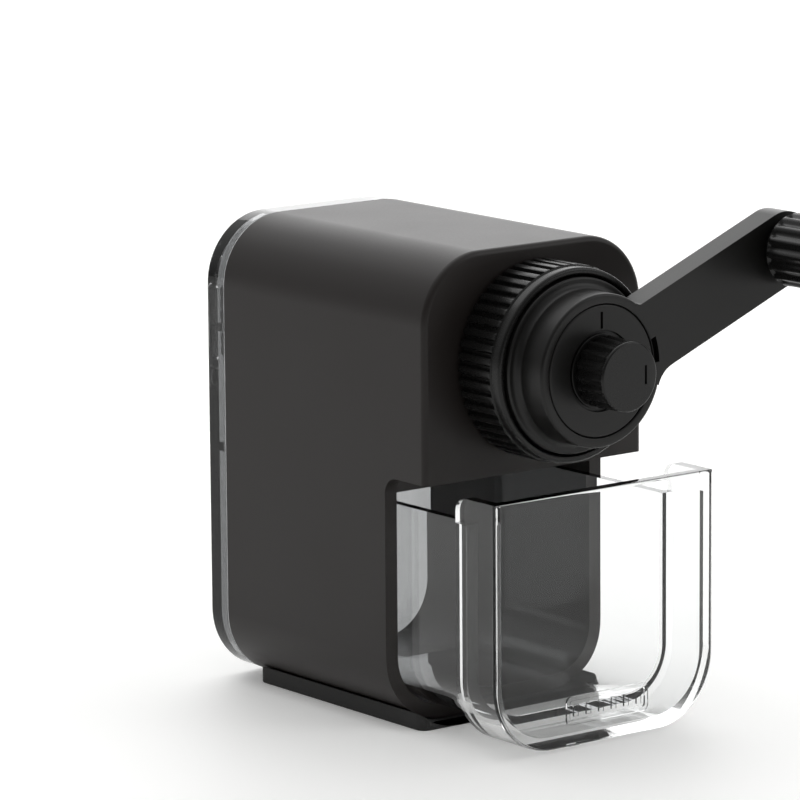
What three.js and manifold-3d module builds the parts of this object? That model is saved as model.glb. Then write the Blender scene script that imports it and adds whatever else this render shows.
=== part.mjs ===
// Hand-cranked desk pencil sharpener: a tall black shell with a pull-out clear shavings drawer, a
// planetary helical cutter turned by a crank on the front, and a spring-fed clear faceplate behind.
//
// Frame: millimetres, +Z up, +X to the right seen from the crank side, -Y towards the crank.
// The origin is the middle of the foot's underside. The main axis runs along Y at axisHeight.

import * as THREE from 'three';
import { mergeVertices } from 'three/addons/utils/BufferGeometryUtils.js';
import Module from 'manifold-3d';

const wasm = await Module();
wasm.setup();

// ---------------------------------------------------------------- driving dimensions

// Shell
const bodyWidth = 47;
const bodyDepth = 61;
const bodyHeight = 82;
const cornerRadius = 12;
const shellWall = 2.5;
const frontPlate = 2.5;
const edgeRounding = 1;
const shellBase = 0.6; // underside of the shell above the table
const shoulderHeight = 43.75; // the front stands proud above this height
const recessDepth = 10.8; // how far the side walls step back below the shoulder
const recessCorner = 3;
const lintelDrop = 3; // web hanging below the shoulder across the drawer bay
const lintelWall = 2.2;
const faceplateDepth = 5;
const partingGap = 0.2;

// Foot
const footHalfWidth = 19.3;
const footFrontInset = 6.4; // from the front face
const footRearInset = 8;
const footCorner = 2;
const footGap = 0.3;

// Drawer
const drawerDrawnOut = 18.6; // how far the drawer stands open at rest
const drawerWall = 1.6;
const drawerFrontWall = 2.1;
const bezelWall = 2;
const bezelWeb = 1.6;
const drawerClearance = 0.3;
const drawerBoxTop = 38.7;
const drawerBoxInset = 6.5; // rear end of the shut box ahead of the rear face
const earRounding = 2.5;
const padHalfWidth = 8.8;
const padHeight = 4.8;
const padAboveBase = 3.8;
const padProud = 0.4;
const padRim = 0.7;
const padRibs = 6;
const padRibInset = 2; // from the pad's ends
const padRibHalfWidth = 0.5;
const padRibGap = 1.4;
const padRoot = 0.5; // how deep the pad is rooted in the wall

// Main axis, lock ring and crank
const axisHeight = 62.85;
const lockRingRadius = 16.7;
const lockRingLength = 10.5;
const lockRingRim = 1.9; // smooth rim in front of the grooves
const lockRingGrooves = 48;
const grooveDepth = 0.55;
const rimStep = 0.3; // the rim is this much smaller than the grooved part
const ringMouthClearance = 0.35; // round the hub's flange
const standOff = 0.3; // gap between pieces that only face each other
const sleeveOuter = 14.2;
const sleeveBore = 13.1;
const sleeveFlangeRadius = 15.8;
const sleeveFlange = 1.8;
const sleeveReach = 3.4; // how far it stands out into the lock ring
const runningClearance = 0.1;
const hubFlangeRadius = 14.85;
const hubFlangeLength = 6.6;
const hubFlangeProud = 0.5; // ahead of the lock ring
const hubRadius = 12.9;
const hubFront = 17.5; // front of the hub ahead of the front face
const hubCove = 1.2;
const hubCapRadius = 11.2;
const hubCapThickness = 1.5;
const capSkirtWall = 1.5;
const indexWidth = 0.5;
const indexLength = 2.5;
const indexDepth = 0.4;
const indexGap = 0.9; // between the knob and the cap's index line
const hubFloor = 3.2;
const spigotRadius = 6.5;
const spigotLength = 5;
const armAngle = THREE.MathUtils.degToRad(22);
const armLength = 43.5;
const armHalfWidth = 6.3;
const armThickness = 5;
const armFillet = 5; // below the arm, where it leaves the hub
const armUpperFillet = 1.2;
const crankScrewOffset = 8.4;

// Handle
const gripRadius = 6.2;
const gripLength = 16.7;
const gripRibs = 16;
const gripRibDepth = 0.5;
const gripTail = 1.6; // plain tapered end next to the arm
const gripTailTaper = 0.6;
const gripCapThickness = 1.6;
const handlePinRadius = 1.6;
const pinHeadRadius = 3;
const pinHeadLength = 1.8;
const pinEndProud = 0.6; // riveted end behind the arm

// Point adjuster
const knobRadius = 6.1;
const knobLength = 6.8;
const knobRibs = 18;
const knobRibDepth = 0.45;
const knobShaftRadius = 3;
const knobShaftLength = 14;
const knobFaceWall = 1.2;
const knobIndexOffset = 3.4;
const knobIndexLength = 3.2;
const stopRadius = 1.5;
const stopTip = -21.4; // where the pencil point comes to rest
const stopLength = 24;
const stopPoint = 2; // length of its tapered tip

// Cutter and gearing
const toothModule = 0.8;
const ringTeeth = 34;
const pinionTeeth = 10;
const toothReach = 0.5;
const toothRoot = 0.85;
const gearFace = 3;
const gearPlane = 1.7; // middle of the gear pair along Y
const ringRim = 0.85;
const cutterTilt = THREE.MathUtils.degToRad(11);
const cutterRadius = 5;
const cutterLength = 19;
const cutterFlutes = 12;
const fluteDepth = 0.6;
const fluteTwist = 0.085; // radians per millimetre
const cutterNeck = 1;
const axleRadius = 1;
const carrierRadius = 13;
const carrierFrontFace = -23.6;
const carrierFlangeRadius = 14.6;
const carrierFlange = 2.1;
const cradleHalfWidth = 6;
const cradleTop = -0.8;
const carrierBarWall = 2.4;
const carrierBarClearance = 0.57; // inside the ring gear's tips
const carrierBarLow = -6;
const carrierBarHigh = 4.4;
const carrierRearDisc = 12.4;
const carrierDiscWall = 1.8;
const carrierDiscGap = 1.2; // between the gears and the rear disc
const axleSeat = 1.5; // how deep the axle sits at each end
const pencilBore = 4.4;

// Inner frames, guide rods and fixings
const frameClearance = 0.2;
const frameWall = 3.2;
const frameLip = 1;
const frameBottom = 44.4;
const guideWall = 2.5;
const guideInset = 9; // the plate's rear ahead of the rear face
const guideTubeRadius = 6.2;
const guideTubeFront = 7;
const rodOffset = 17;
const rodHeight = 53;
const rodRadius = 1.5;
const rodClearance = 0.08;
const rodFront = -7.6;
const clipRadius = 2.8;
const clipWall = 0.8;
const clipInset = 1; // from the rod's front end
const pressGap = 0.02;
const seatGap = 0.1;
const springRadius = 2.3;
const springWire = 0.35;
const springRoom = 1;
const feedSpringTurns = 7;
const screwOffset = 18;
const screwHeight = 46.3;
const screwRadius = 0.9;
const screwHeadRadius = 1.9;
const screwHead = 1.3;
const screwSlotDepth = 0.5;
const screwSlotWidth = 0.4;
const screwLength = 8;
const bossHalfWidth = 2.7;
const bossLength = 7.5;

// Faceplate and pencil grip
const faceplateWall = 2;
const faceplateRounding = 0.6;
const lugHeights = [41.5, 62.6];
const lugHeight = 1.4;
const lugReach = 1.6;
const rodSeatWall = 1.4;
const rodSeatInset = 0.4;
const gripperHalfWidth = 13;
const gripperHalfHeight = 9;
const gripperCorner = 3;
const gripperInset = 4.5; // its front ahead of the rear face
const gripperProud = 2.5; // its rear behind the rear face
const gripperWall = 1.5;
const gripperGap = 0.15;
const coverWall = 1.2;
const coverInset = 0.05;
const portRadius = 5.2;
const portChamfer = 1;
const portChamferDepth = 0.9;
const sliderWall = 1.7;
const sliderHalfHeight = 5.4;
const tabReach = 3.5;
const tabHalfHeight = 6.5;
const tabCorner = 1.2;
const tabInset = 0.4; // behind the housing's rear face
const pinchTravel = 2;
const jawRest = 3.1;
const jawHalfHeight = 4;
const jawFlare = 1; // how far its ends fall back
const jawNotch = 0.8;
const jawNotchHalf = 1.4;
const tabSpringLength = 4.2;
const tabSpringTurns = 4;
const tabSpringWire = 0.18;
const tabSpringGap = 0.4;

// ---------------------------------------------------------------- derived places

const halfWidth = bodyWidth / 2;
const frontFace = -bodyDepth / 2;
const rearFace = bodyDepth / 2;
const shellRear = rearFace - faceplateDepth - partingGap;
const recessFace = frontFace + recessDepth;
const innerHalfWidth = halfWidth - shellWall;
const ringPitch = (toothModule * ringTeeth) / 2;
const pinionPitch = (toothModule * pinionTeeth) / 2;
const gearDistance = ringPitch - pinionPitch;
const ringOuter = ringPitch + toothRoot + ringRim;
const hubFlangeFront = frontFace - standOff - lockRingLength - hubFlangeProud;
const hubFlangeRear = hubFlangeFront + hubFlangeLength;
const hubFace = frontFace - hubFront;
const carrierFrontEnd = hubFlangeRear + standOff;
const ringFrontEnd = frontFace - standOff - lockRingLength;
const gripperFront = rearFace - gripperInset;
const gripperRear = rearFace + gripperProud;
const guideRear = rearFace - guideInset;
const drawerBoxRear = rearFace - drawerBoxInset;
const carrierBarReach = ringPitch - toothReach - carrierBarClearance;
const carrierBarOuter = Math.sqrt(carrierBarReach ** 2 - carrierBarLow ** 2);
const gripRear = hubFace - standOff;
const gripFront = gripRear - gripLength + gripCapThickness;
const pocketFloor = hubFlangeRear - hubFloor;
const carrierDiscFront = gearPlane + gearFace / 2 + carrierDiscGap;
const carrierDiscRear = carrierDiscFront + carrierDiscWall;
const drawerBoxHalfWidth = innerHalfWidth - drawerClearance;
const drawerBoxBase = shellBase + shellWall + drawerClearance;

// ---------------------------------------------------------------- solid helpers

// A solid that cuts another runs past the faces that it cuts, by 1 mm unless something is in its way.

/** Turns a closed three.js geometry into a solid for cutting and joining. */
function solidOf(geometry) {
  const bare = geometry.index ? geometry.toNonIndexed() : geometry.clone();
  bare.deleteAttribute('normal');
  bare.deleteAttribute('uv');
  const merged = mergeVertices(bare, 1e-4);
  const corners = merged.index.array;
  const kept = [];
  for (let i = 0; i < corners.length; i += 3) {
    const [a, b, c] = [corners[i], corners[i + 1], corners[i + 2]];
    if (a !== b && b !== c && c !== a) kept.push(a, b, c);
  }
  const vertProperties = new Float32Array(merged.attributes.position.array);
  const build = (order) => {
    const triVerts = new Uint32Array(order);
    return new wasm.Manifold(new wasm.Mesh({ numProp: 3, vertProperties, triVerts }));
  };
  const solid = build(kept);
  return solid.volume() > 0 ? solid : build(kept.reverse());
}

/** Gives a solid back as a geometry with flat faces. */
function geometryOf(solid) {
  const mesh = solid.getMesh();
  const geometry = new THREE.BufferGeometry();
  geometry.setAttribute('position', new THREE.BufferAttribute(new Float32Array(mesh.vertProperties), 3));
  geometry.setIndex(new THREE.BufferAttribute(new Uint32Array(mesh.triVerts), 1));
  geometry.computeVertexNormals();
  return geometry;
}

/** Joins several solids. */
function join(...solids) {
  return solids.reduce((whole, next) => whole.add(next));
}

/** Cuts several solids out of the first one. */
function cut(solid, ...tools) {
  return tools.reduce((whole, tool) => whole.subtract(tool), solid);
}

/** Extrudes an outline drawn in X and Z from low to high along Y. */
function prismY(outline, low, high) {
  const geometry = new THREE.ExtrudeGeometry(outline, {
    depth: high - low, bevelEnabled: false, curveSegments: 5,
  });
  return solidOf(geometry.rotateX(Math.PI / 2).translate(0, high, 0));
}

/** Extrudes an outline drawn in Y and Z from low to high along X. */
function prismX(outline, low, high) {
  const geometry = new THREE.ExtrudeGeometry(outline, {
    depth: high - low, bevelEnabled: false, curveSegments: 5,
  });
  const turn = new THREE.Matrix4().makeBasis(
    new THREE.Vector3(0, 1, 0), new THREE.Vector3(0, 0, 1), new THREE.Vector3(1, 0, 0),
  );
  return solidOf(geometry.applyMatrix4(turn).translate(low, 0, 0));
}

/** A box given by its two corners. */
function block(xLow, xHigh, yLow, yHigh, zLow, zHigh) {
  const geometry = new THREE.BoxGeometry(xHigh - xLow, yHigh - yLow, zHigh - zLow);
  return solidOf(geometry.translate((xLow + xHigh) / 2, (yLow + yHigh) / 2, (zLow + zHigh) / 2));
}

/** A rod along Y, centred on x and z. */
function rodY(radius, low, high, x = 0, z = 0, sides = 24) {
  const geometry = new THREE.CylinderGeometry(radius, radius, high - low, sides);
  return solidOf(geometry.translate(x, (low + high) / 2, z));
}

/** A cone along Y, with its own radius at each end. */
function coneY(radiusLow, radiusHigh, low, high, x = 0, z = 0, sides = 24) {
  const geometry = new THREE.CylinderGeometry(radiusHigh, radiusLow, high - low, sides);
  return solidOf(geometry.translate(x, (low + high) / 2, z));
}

/** A body turned about the Y axis from [radius, y] points that close on themselves. */
function turned(points, sides = 48) {
  const profile = points.map(([radius, y]) => new THREE.Vector2(radius, y));
  return solidOf(new THREE.LatheGeometry([...profile, profile[0]], sides));
}

/** A rounded rectangle outline, from xLow, zLow to xHigh, zHigh. */
function roundedRectangle(xLow, xHigh, zLow, zHigh, radius) {
  const shape = new THREE.Shape();
  shape.moveTo(xHigh, zLow + radius);
  shape.lineTo(xHigh, zHigh - radius);
  shape.absarc(xHigh - radius, zHigh - radius, radius, 0, Math.PI / 2);
  shape.absarc(xLow + radius, zHigh - radius, radius, Math.PI / 2, Math.PI);
  shape.absarc(xLow + radius, zLow + radius, radius, Math.PI, 1.5 * Math.PI);
  shape.absarc(xHigh - radius, zLow + radius, radius, 1.5 * Math.PI, 2 * Math.PI);
  return shape;
}

/** The shell's outer outline, shrunk all round by an inset. */
function shellOutline(inset = 0) {
  return roundedRectangle(
    -halfWidth + inset, halfWidth - inset, shellBase + inset, bodyHeight - inset, cornerRadius - inset,
  );
}

/** A trough outline: square at the top, with the shell's rounded corners at the bottom. */
function troughOutline(sideInset, base, top) {
  const half = halfWidth - sideInset;
  const radius = cornerRadius - sideInset;
  const shape = new THREE.Shape();
  shape.moveTo(half, top);
  shape.lineTo(-half, top);
  shape.lineTo(-half, base + radius);
  shape.absarc(-half + radius, base + radius, radius, Math.PI, 1.5 * Math.PI);
  shape.absarc(half - radius, base + radius, radius, 1.5 * Math.PI, 2 * Math.PI);
  shape.lineTo(half, top);
  return shape;
}

/** A closed outline in polar form, with the same tooth repeated all round. */
function toothedOutline(count, tooth) {
  const shape = new THREE.Shape();
  const pitch = (2 * Math.PI) / count;
  for (let i = 0; i < count; i += 1) {
    tooth.forEach(([share, radius], j) => {
      const angle = (i + share) * pitch;
      const [x, y] = [radius * Math.cos(angle), radius * Math.sin(angle)];
      if (i === 0 && j === 0) shape.moveTo(x, y);
      else shape.lineTo(x, y);
    });
  }
  shape.closePath();
  return shape;
}

/** A coil spring along Y as one closed wire. */
class CoilPath extends THREE.Curve {
  constructor(radius, low, high, turns) {
    super();
    Object.assign(this, { radius, low, high, turns });
  }

  getPoint(t, target = new THREE.Vector3()) {
    const angle = 2 * Math.PI * this.turns * t;
    const y = THREE.MathUtils.lerp(this.low, this.high, t);
    return target.set(this.radius * Math.cos(angle), y, this.radius * Math.sin(angle));
  }
}

/** The wire of a coil spring along Y. */
function coilSpring(radius, low, high, turns, wire) {
  const section = new THREE.Shape();
  section.absarc(0, 0, wire, 0, 2 * Math.PI);
  return new THREE.ExtrudeGeometry(section, {
    steps: turns * 8, curveSegments: 2, bevelEnabled: false,
    extrudePath: new CoilPath(radius, low, high, turns),
  });
}

// ---------------------------------------------------------------- finishes

const finish = (color, roughness, metalness = 0) => (
  new THREE.MeshStandardMaterial({ color, roughness, metalness })
);
const shellBlack = finish('#373432', 0.5);
const crankBlack = finish('#262626', 0.4);
const knobBlack = finish('#1f1f1f', 0.35);
const rubberBlack = finish('#2f2e2e', 0.85);
const clearPlastic = new THREE.MeshStandardMaterial({
  color: '#eef1f2', roughness: 0.05, metalness: 0, transparent: true, opacity: 0.35,
});
const innerGrey = finish('#4a4a4c', 0.55);
const gearNylon = finish('#d8d4c8', 0.6);
const cutterSteel = finish('#8f9296', 0.3, 1);
const brightSteel = finish('#b9bcc0', 0.3, 1);

/** Wraps a solid or a geometry as a named mesh. */
function piece(name, shape, material) {
  const geometry = shape.isBufferGeometry ? shape : geometryOf(shape);
  const mesh = new THREE.Mesh(geometry, material);
  mesh.name = name;
  return mesh;
}

// ---------------------------------------------------------------- shell and foot

/** Outer block of the shell with a rounded front edge. */
function shellBlock() {
  const geometry = new THREE.ExtrudeGeometry(shellOutline(edgeRounding), {
    depth: bodyDepth, curveSegments: 5,
    bevelEnabled: true, bevelThickness: edgeRounding, bevelSize: edgeRounding, bevelSegments: 2,
  });
  const whole = solidOf(geometry.rotateX(Math.PI / 2).translate(0, rearFace + edgeRounding, 0));
  const reach = bodyWidth;
  return cut(whole, block(-reach, reach, shellRear, rearFace + reach, -reach, bodyHeight + reach));
}

/** Cut that steps the side walls and floor back below the shoulder. */
function recessCut() {
  const front = frontFace - 1;
  const floor = -1;
  const shape = new THREE.Shape();
  shape.moveTo(front, floor);
  shape.lineTo(recessFace, floor);
  shape.lineTo(recessFace, shoulderHeight - recessCorner);
  shape.absarc(recessFace - recessCorner, shoulderHeight - recessCorner, recessCorner, 0, Math.PI / 2);
  shape.lineTo(front, shoulderHeight);
  return prismX(shape, -bodyWidth, bodyWidth);
}

/** Screw boss on a side wall, in front of the frame that it holds. */
function wallBoss(side, rear) {
  const inner = screwOffset - bossHalfWidth;
  const outer = innerHalfWidth + shellWall / 2;
  const [low, high] = side > 0 ? [inner, outer] : [-outer, -inner];
  const front = rear - bossLength;
  const boss = block(low, high, front, rear, screwHeight - bossHalfWidth, screwHeight + bossHalfWidth);
  const pilotRadius = screwRadius + runningClearance;
  const pilot = rodY(pilotRadius, front + 1, rear + 1, side * screwOffset, screwHeight, 12);
  return cut(boss, pilot);
}

function bodyShell() {
  const cavity = prismY(shellOutline(shellWall), recessFace, rearFace);
  const upper = shellOutline(shellWall);
  const upperCavity = cut(
    prismY(upper, frontFace + frontPlate, recessFace + 1),
    block(-bodyWidth, bodyWidth, frontFace, recessFace + 2, 0, shoulderHeight + shellWall),
  );
  const boreRadius = sleeveOuter + runningClearance;
  const bore = rodY(boreRadius, frontFace - 1, frontFace + frontPlate + 1, 0, axisHeight, 48);
  const lintel = block(
    -innerHalfWidth - 1, innerHalfWidth + 1, recessFace, recessFace + lintelWall,
    shoulderHeight - lintelDrop, shoulderHeight + shellWall,
  );
  const hollow = cut(shellBlock(), recessCut(), cavity, upperCavity, bore);
  const frameFace = gearPlane - gearFace / 2 - frameLip - frameClearance;
  const guideFace = guideRear - guideWall - frameClearance;
  const bosses = [-1, 1].flatMap((side) => [wallBoss(side, frameFace), wallBoss(side, guideFace)]);
  return join(hollow, lintel, ...bosses);
}

/** Foot with a top that follows the shell's rounded underside. */
function baseFoot() {
  const cornerX = halfWidth - cornerRadius;
  const cornerZ = shellBase + cornerRadius;
  const reach = cornerRadius + footGap;
  const spread = Math.asin((footHalfWidth - cornerX) / reach);
  const shape = new THREE.Shape();
  shape.moveTo(-footHalfWidth, 0);
  shape.lineTo(footHalfWidth, 0);
  shape.absarc(cornerX, cornerZ, reach, -Math.PI / 2 + spread, -Math.PI / 2, true);
  shape.absarc(-cornerX, cornerZ, reach, -Math.PI / 2, -Math.PI / 2 - spread, true);
  const front = frontFace + footFrontInset;
  const rear = rearFace - footRearInset;
  const plan = roundedRectangle(-footHalfWidth, footHalfWidth, front, rear, footCorner);
  const column = solidOf(new THREE.ExtrudeGeometry(plan, {
    depth: cornerRadius, bevelEnabled: false, curveSegments: 4,
  }).translate(0, 0, -1));
  return prismY(shape, front, rear).intersect(column);
}

// ---------------------------------------------------------------- drawer

/** Clear shavings drawer in its shut place, with a bezel that fills the shell's recess. */
function drawer() {
  const front = frontFace;
  const bezelRear = recessFace - drawerClearance;
  const bezelTop = shoulderHeight - drawerClearance;
  const webFront = bezelRear - bezelWeb;
  const boxInset = halfWidth - drawerBoxHalfWidth;
  const bezel = prismY(troughOutline(0, shellBase, bezelTop), front, bezelRear);
  const bezelCavity = prismY(
    troughOutline(bezelWall, shellBase + bezelWall, bezelTop + 1), front + drawerFrontWall, webFront,
  );
  const box = prismY(troughOutline(boxInset, drawerBoxBase, drawerBoxTop), webFront, drawerBoxRear);
  const boxCavity = prismY(
    troughOutline(boxInset + drawerWall, drawerBoxBase + drawerWall, bezelTop + 1),
    webFront - 1, drawerBoxRear - drawerWall,
  );
  const webTop = block(
    -halfWidth + bezelWall, halfWidth - bezelWall, webFront - 1, bezelRear + 1, drawerBoxTop, bezelTop + 1,
  );
  const tray = cut(join(cut(bezel, bezelCavity), box), boxCavity, webTop, earCorner(bezelRear, bezelTop));
  return join(tray, frontPad(front)).translate(0, -drawerDrawnOut, 0);
}

/** Rounds the rear top corner of the drawer's bezel. */
function earCorner(bezelRear, bezelTop) {
  const shape = new THREE.Shape();
  shape.moveTo(bezelRear + 1, bezelTop + 1);
  shape.lineTo(bezelRear - earRounding, bezelTop + 1);
  shape.lineTo(bezelRear - earRounding, bezelTop);
  shape.absarc(bezelRear - earRounding, bezelTop - earRounding, earRounding, Math.PI / 2, 0, true);
  shape.lineTo(bezelRear + 1, bezelTop - earRounding);
  return prismX(shape, -bodyWidth, bodyWidth);
}

/** Raised pad with plain ribs, low on the drawer's front. */
function frontPad(front) {
  const low = shellBase + padAboveBase;
  const high = low + padHeight;
  const rim = cut(
    prismY(roundedRectangle(-padHalfWidth, padHalfWidth, low, high, 1), front - padProud, front + padRoot),
    prismY(
      roundedRectangle(-padHalfWidth + padRim, padHalfWidth - padRim, low + padRim, high - padRim, 0.5),
      front - padProud - 1, front,
    ),
  );
  const reach = padHalfWidth - padRibInset;
  const pitch = (2 * reach) / (padRibs - 1);
  const ribs = Array.from({ length: padRibs }, (_, i) => {
    const x = -reach + i * pitch;
    return block(
      x - padRibHalfWidth, x + padRibHalfWidth, front - padProud, front + padRoot,
      low + padRibGap, high - padRibGap,
    );
  });
  return join(rim, ...ribs);
}

// ---------------------------------------------------------------- lock ring and crank

function bearingSleeve() {
  const flangeFront = frontFace + frontPlate + runningClearance;
  const flangeRear = flangeFront + sleeveFlange;
  const front = frontFace - standOff - sleeveReach;
  return turned([
    [sleeveBore, front], [sleeveOuter, front], [sleeveOuter, flangeFront],
    [sleeveFlangeRadius, flangeFront], [sleeveFlangeRadius, flangeRear], [sleeveBore, flangeRear],
  ]);
}

function lockRing() {
  const rear = frontFace - standOff;
  const rimStart = ringFrontEnd + lockRingRim;
  const deep = lockRingRadius - grooveDepth;
  const tooth = [[0, lockRingRadius], [0.55, lockRingRadius], [0.62, deep], [0.93, deep]];
  const knurl = prismY(toothedOutline(lockRingGrooves, tooth), rimStart, rear);
  const rim = rodY(lockRingRadius - rimStep, ringFrontEnd, rimStart, 0, 0, 96);
  const mouthEnd = rear - sleeveReach - 2 * runningClearance;
  const mouth = rodY(hubFlangeRadius + ringMouthClearance, ringFrontEnd - 1, mouthEnd, 0, 0, 48);
  const collar = rodY(sleeveOuter + 2 * runningClearance, ringFrontEnd - 1, rear + 1, 0, 0, 48);
  return cut(join(knurl, rim), mouth, collar);
}

/** Centre of an arm fillet along +X, and the angle at which it meets the round hub. */
function armFilletPlace(radius) {
  const offset = armHalfWidth + radius;
  const along = Math.sqrt((hubRadius + radius) ** 2 - offset ** 2);
  return { along, offset, meet: Math.atan2(offset, along) };
}

/** Outline of the arm along +X, with its own fillet on each side where it leaves the round hub. */
function armOutline() {
  const lower = armFilletPlace(armFillet);
  const upper = armFilletPlace(armUpperFillet);
  const shape = new THREE.Shape();
  shape.moveTo(0, 0);
  shape.absarc(lower.along, -lower.offset, armFillet, Math.PI - lower.meet, Math.PI / 2, true);
  shape.absarc(armLength, 0, armHalfWidth, -Math.PI / 2, Math.PI / 2);
  shape.absarc(upper.along, upper.offset, armUpperFillet, -Math.PI / 2, upper.meet - Math.PI, true);
  shape.lineTo(0, 0);
  return shape;
}

/** Holes for the two screws that hold the crank to the cutter carrier. */
function crankScrewHoles(radius, low, high) {
  return join(...[-1, 1].map((side) => rodY(radius, low, high, 0, side * crankScrewOffset, 12)));
}

function crankArm() {
  const cove = Array.from({ length: 4 }, (_, i) => {
    const angle = (i / 3) * (Math.PI / 2);
    return [
      hubRadius + hubCove * (1 - Math.cos(angle)),
      hubFlangeFront - hubCove * (1 - Math.sin(angle)),
    ];
  });
  const hub = turned([
    [knobShaftRadius + runningClearance, hubFace], [hubRadius, hubFace], ...cove,
    [hubFlangeRadius, hubFlangeFront], [hubFlangeRadius, hubFlangeRear],
    [spigotRadius, hubFlangeRear], [spigotRadius, hubFlangeRear + spigotLength],
    [knobShaftRadius + runningClearance, hubFlangeRear + spigotLength],
  ]);
  const arm = prismY(armOutline(), hubFace, hubFace + armThickness);
  const shaftHole = rodY(knobShaftRadius + runningClearance, hubFace - 1, hubFlangeRear + spigotLength + 1);
  const pocket = rodY(hubCapRadius, hubFace - 1, pocketFloor, 0, 0, 48);
  const pinRadius = handlePinRadius + runningClearance;
  const pinHole = rodY(pinRadius, hubFace - 1, hubFace + armThickness + 1, armLength, 0, 16);
  const screwHoles = crankScrewHoles(screwRadius + runningClearance, pocketFloor - 1, hubFlangeRear + 1);
  return cut(join(hub, arm), shaftHole, pocket, pinHole, screwHoles);
}

/** Cap that closes the hub, with an index line cut into its front. */
function hubCap() {
  const discRear = hubFace + hubCapThickness;
  const disc = rodY(hubCapRadius - runningClearance, hubFace, discRear, 0, 0, 48);
  const boreRadius = knobShaftRadius + runningClearance;
  const skirt = rodY(boreRadius + capSkirtWall, hubFace, pocketFloor - standOff);
  const bore = rodY(boreRadius, hubFace - 1, pocketFloor);
  const lineStart = knobRadius + indexGap;
  const line = block(
    -indexWidth / 2, indexWidth / 2, hubFace - 1, hubFace + indexDepth, lineStart, lineStart + indexLength,
  );
  return cut(join(disc, skirt), bore, line);
}

/** A screw along Y, its slotted domed head at headAt and pointing along direction. */
function screwY(headAt, direction, x, z) {
  const span = (from, to) => [headAt + direction * from, headAt + direction * to].sort((a, b) => a - b);
  const dome = screwHeadRadius * 0.6;
  const ends = direction > 0 ? [screwHeadRadius, dome] : [dome, screwHeadRadius];
  const shank = rodY(screwRadius, ...span(-screwLength, 0.2), x, z, 12);
  const head = coneY(...ends, ...span(0, screwHead), x, z, 16);
  const slot = block(
    x - screwHeadRadius, x + screwHeadRadius, ...span(screwHead - screwSlotDepth, screwHead + 1),
    z - screwSlotWidth / 2, z + screwSlotWidth / 2,
  );
  return cut(join(shank, head), slot);
}

// ---------------------------------------------------------------- handle and adjuster

function handlePin() {
  const headFront = gripFront + standOff;
  const headRear = headFront + pinHeadLength;
  return join(
    rodY(handlePinRadius, headRear - 0.2, hubFace + armThickness + pinEndProud, armLength, 0, 16),
    rodY(pinHeadRadius, headFront, headRear, armLength, 0, 20),
  );
}

function handleGrip() {
  const deep = gripRadius - gripRibDepth;
  const tooth = [[0, gripRadius], [0.25, gripRadius], [0.5, gripRadius], [0.6, deep], [0.9, deep]];
  const ribbed = prismY(toothedOutline(gripRibs, tooth), gripFront, gripRear - gripTail);
  const tail = coneY(deep, deep - gripTailTaper, gripRear - gripTail, gripRear, 0, 0, 32);
  const bore = rodY(handlePinRadius + runningClearance, gripFront - 1, gripRear + 1, 0, 0, 16);
  const roomEnd = gripFront + pinHeadLength + 2 * standOff;
  const headRoom = rodY(pinHeadRadius + standOff, gripFront - 1, roomEnd, 0, 0, 20);
  return cut(join(ribbed, tail), bore, headRoom).translate(armLength, 0, 0);
}

function gripCap() {
  const front = gripRear - gripLength;
  return coneY(gripRadius - 1, gripRadius - 0.2, front, gripFront - coverInset, armLength, 0, 32);
}

/** Ribbed knob with an index line, and its hollow shaft. */
function adjusterKnob() {
  const rear = hubFace - standOff;
  const front = rear - knobLength;
  const deep = knobRadius - knobRibDepth;
  const tooth = [[0, knobRadius], [0.4, knobRadius], [0.55, deep], [0.85, deep]];
  const head = prismY(toothedOutline(knobRibs, tooth), front, rear);
  const shaftEnd = rear + knobShaftLength;
  const shaft = rodY(knobShaftRadius, rear - 0.5, shaftEnd);
  const bore = rodY(stopRadius + runningClearance, front + knobFaceWall, shaftEnd + 1, 0, 0, 16);
  const line = block(
    knobIndexOffset, knobIndexOffset + indexWidth, front - 1, front + indexDepth,
    -knobIndexLength / 2, knobIndexLength / 2,
  );
  return cut(join(head, shaft), bore, line);
}

function depthStop() {
  return join(
    rodY(stopRadius, stopTip - stopLength, stopTip - stopPoint, 0, 0, 16),
    coneY(stopRadius, stopRadius * 0.7, stopTip - stopPoint, stopTip, 0, 0, 16),
  );
}

// ---------------------------------------------------------------- cutter head

/** Places a piece built along Y, centred on the gear plane, onto the tilted cutter axis. */
function tilted(solid) {
  return solid
    .rotate(THREE.MathUtils.radToDeg(cutterTilt), 0, 0)
    .translate(0, gearPlane, gearDistance);
}

/** Where the cutter axis crosses a plane square to Y, measured along the cutter axis. */
function alongCutter(y) {
  return (y - gearPlane) / Math.cos(cutterTilt);
}

/** One side bar of the cutter cradle. */
function carrierBar(side) {
  const across = [carrierBarOuter - carrierBarWall, carrierBarOuter].map((x) => side * x);
  const [low, high] = across.sort((a, b) => a - b);
  return block(low, high, carrierFrontFace - 0.5, carrierDiscFront + 0.5, carrierBarLow, carrierBarHigh);
}

/** Hole for the cutter's axle, from its front seat through the rear disc. */
function axleHole() {
  const front = alongCutter(carrierFrontFace) - axleSeat - standOff;
  return tilted(rodY(axleRadius + runningClearance, front, alongCutter(carrierDiscRear) + 2, 0, 0, 16));
}

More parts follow.
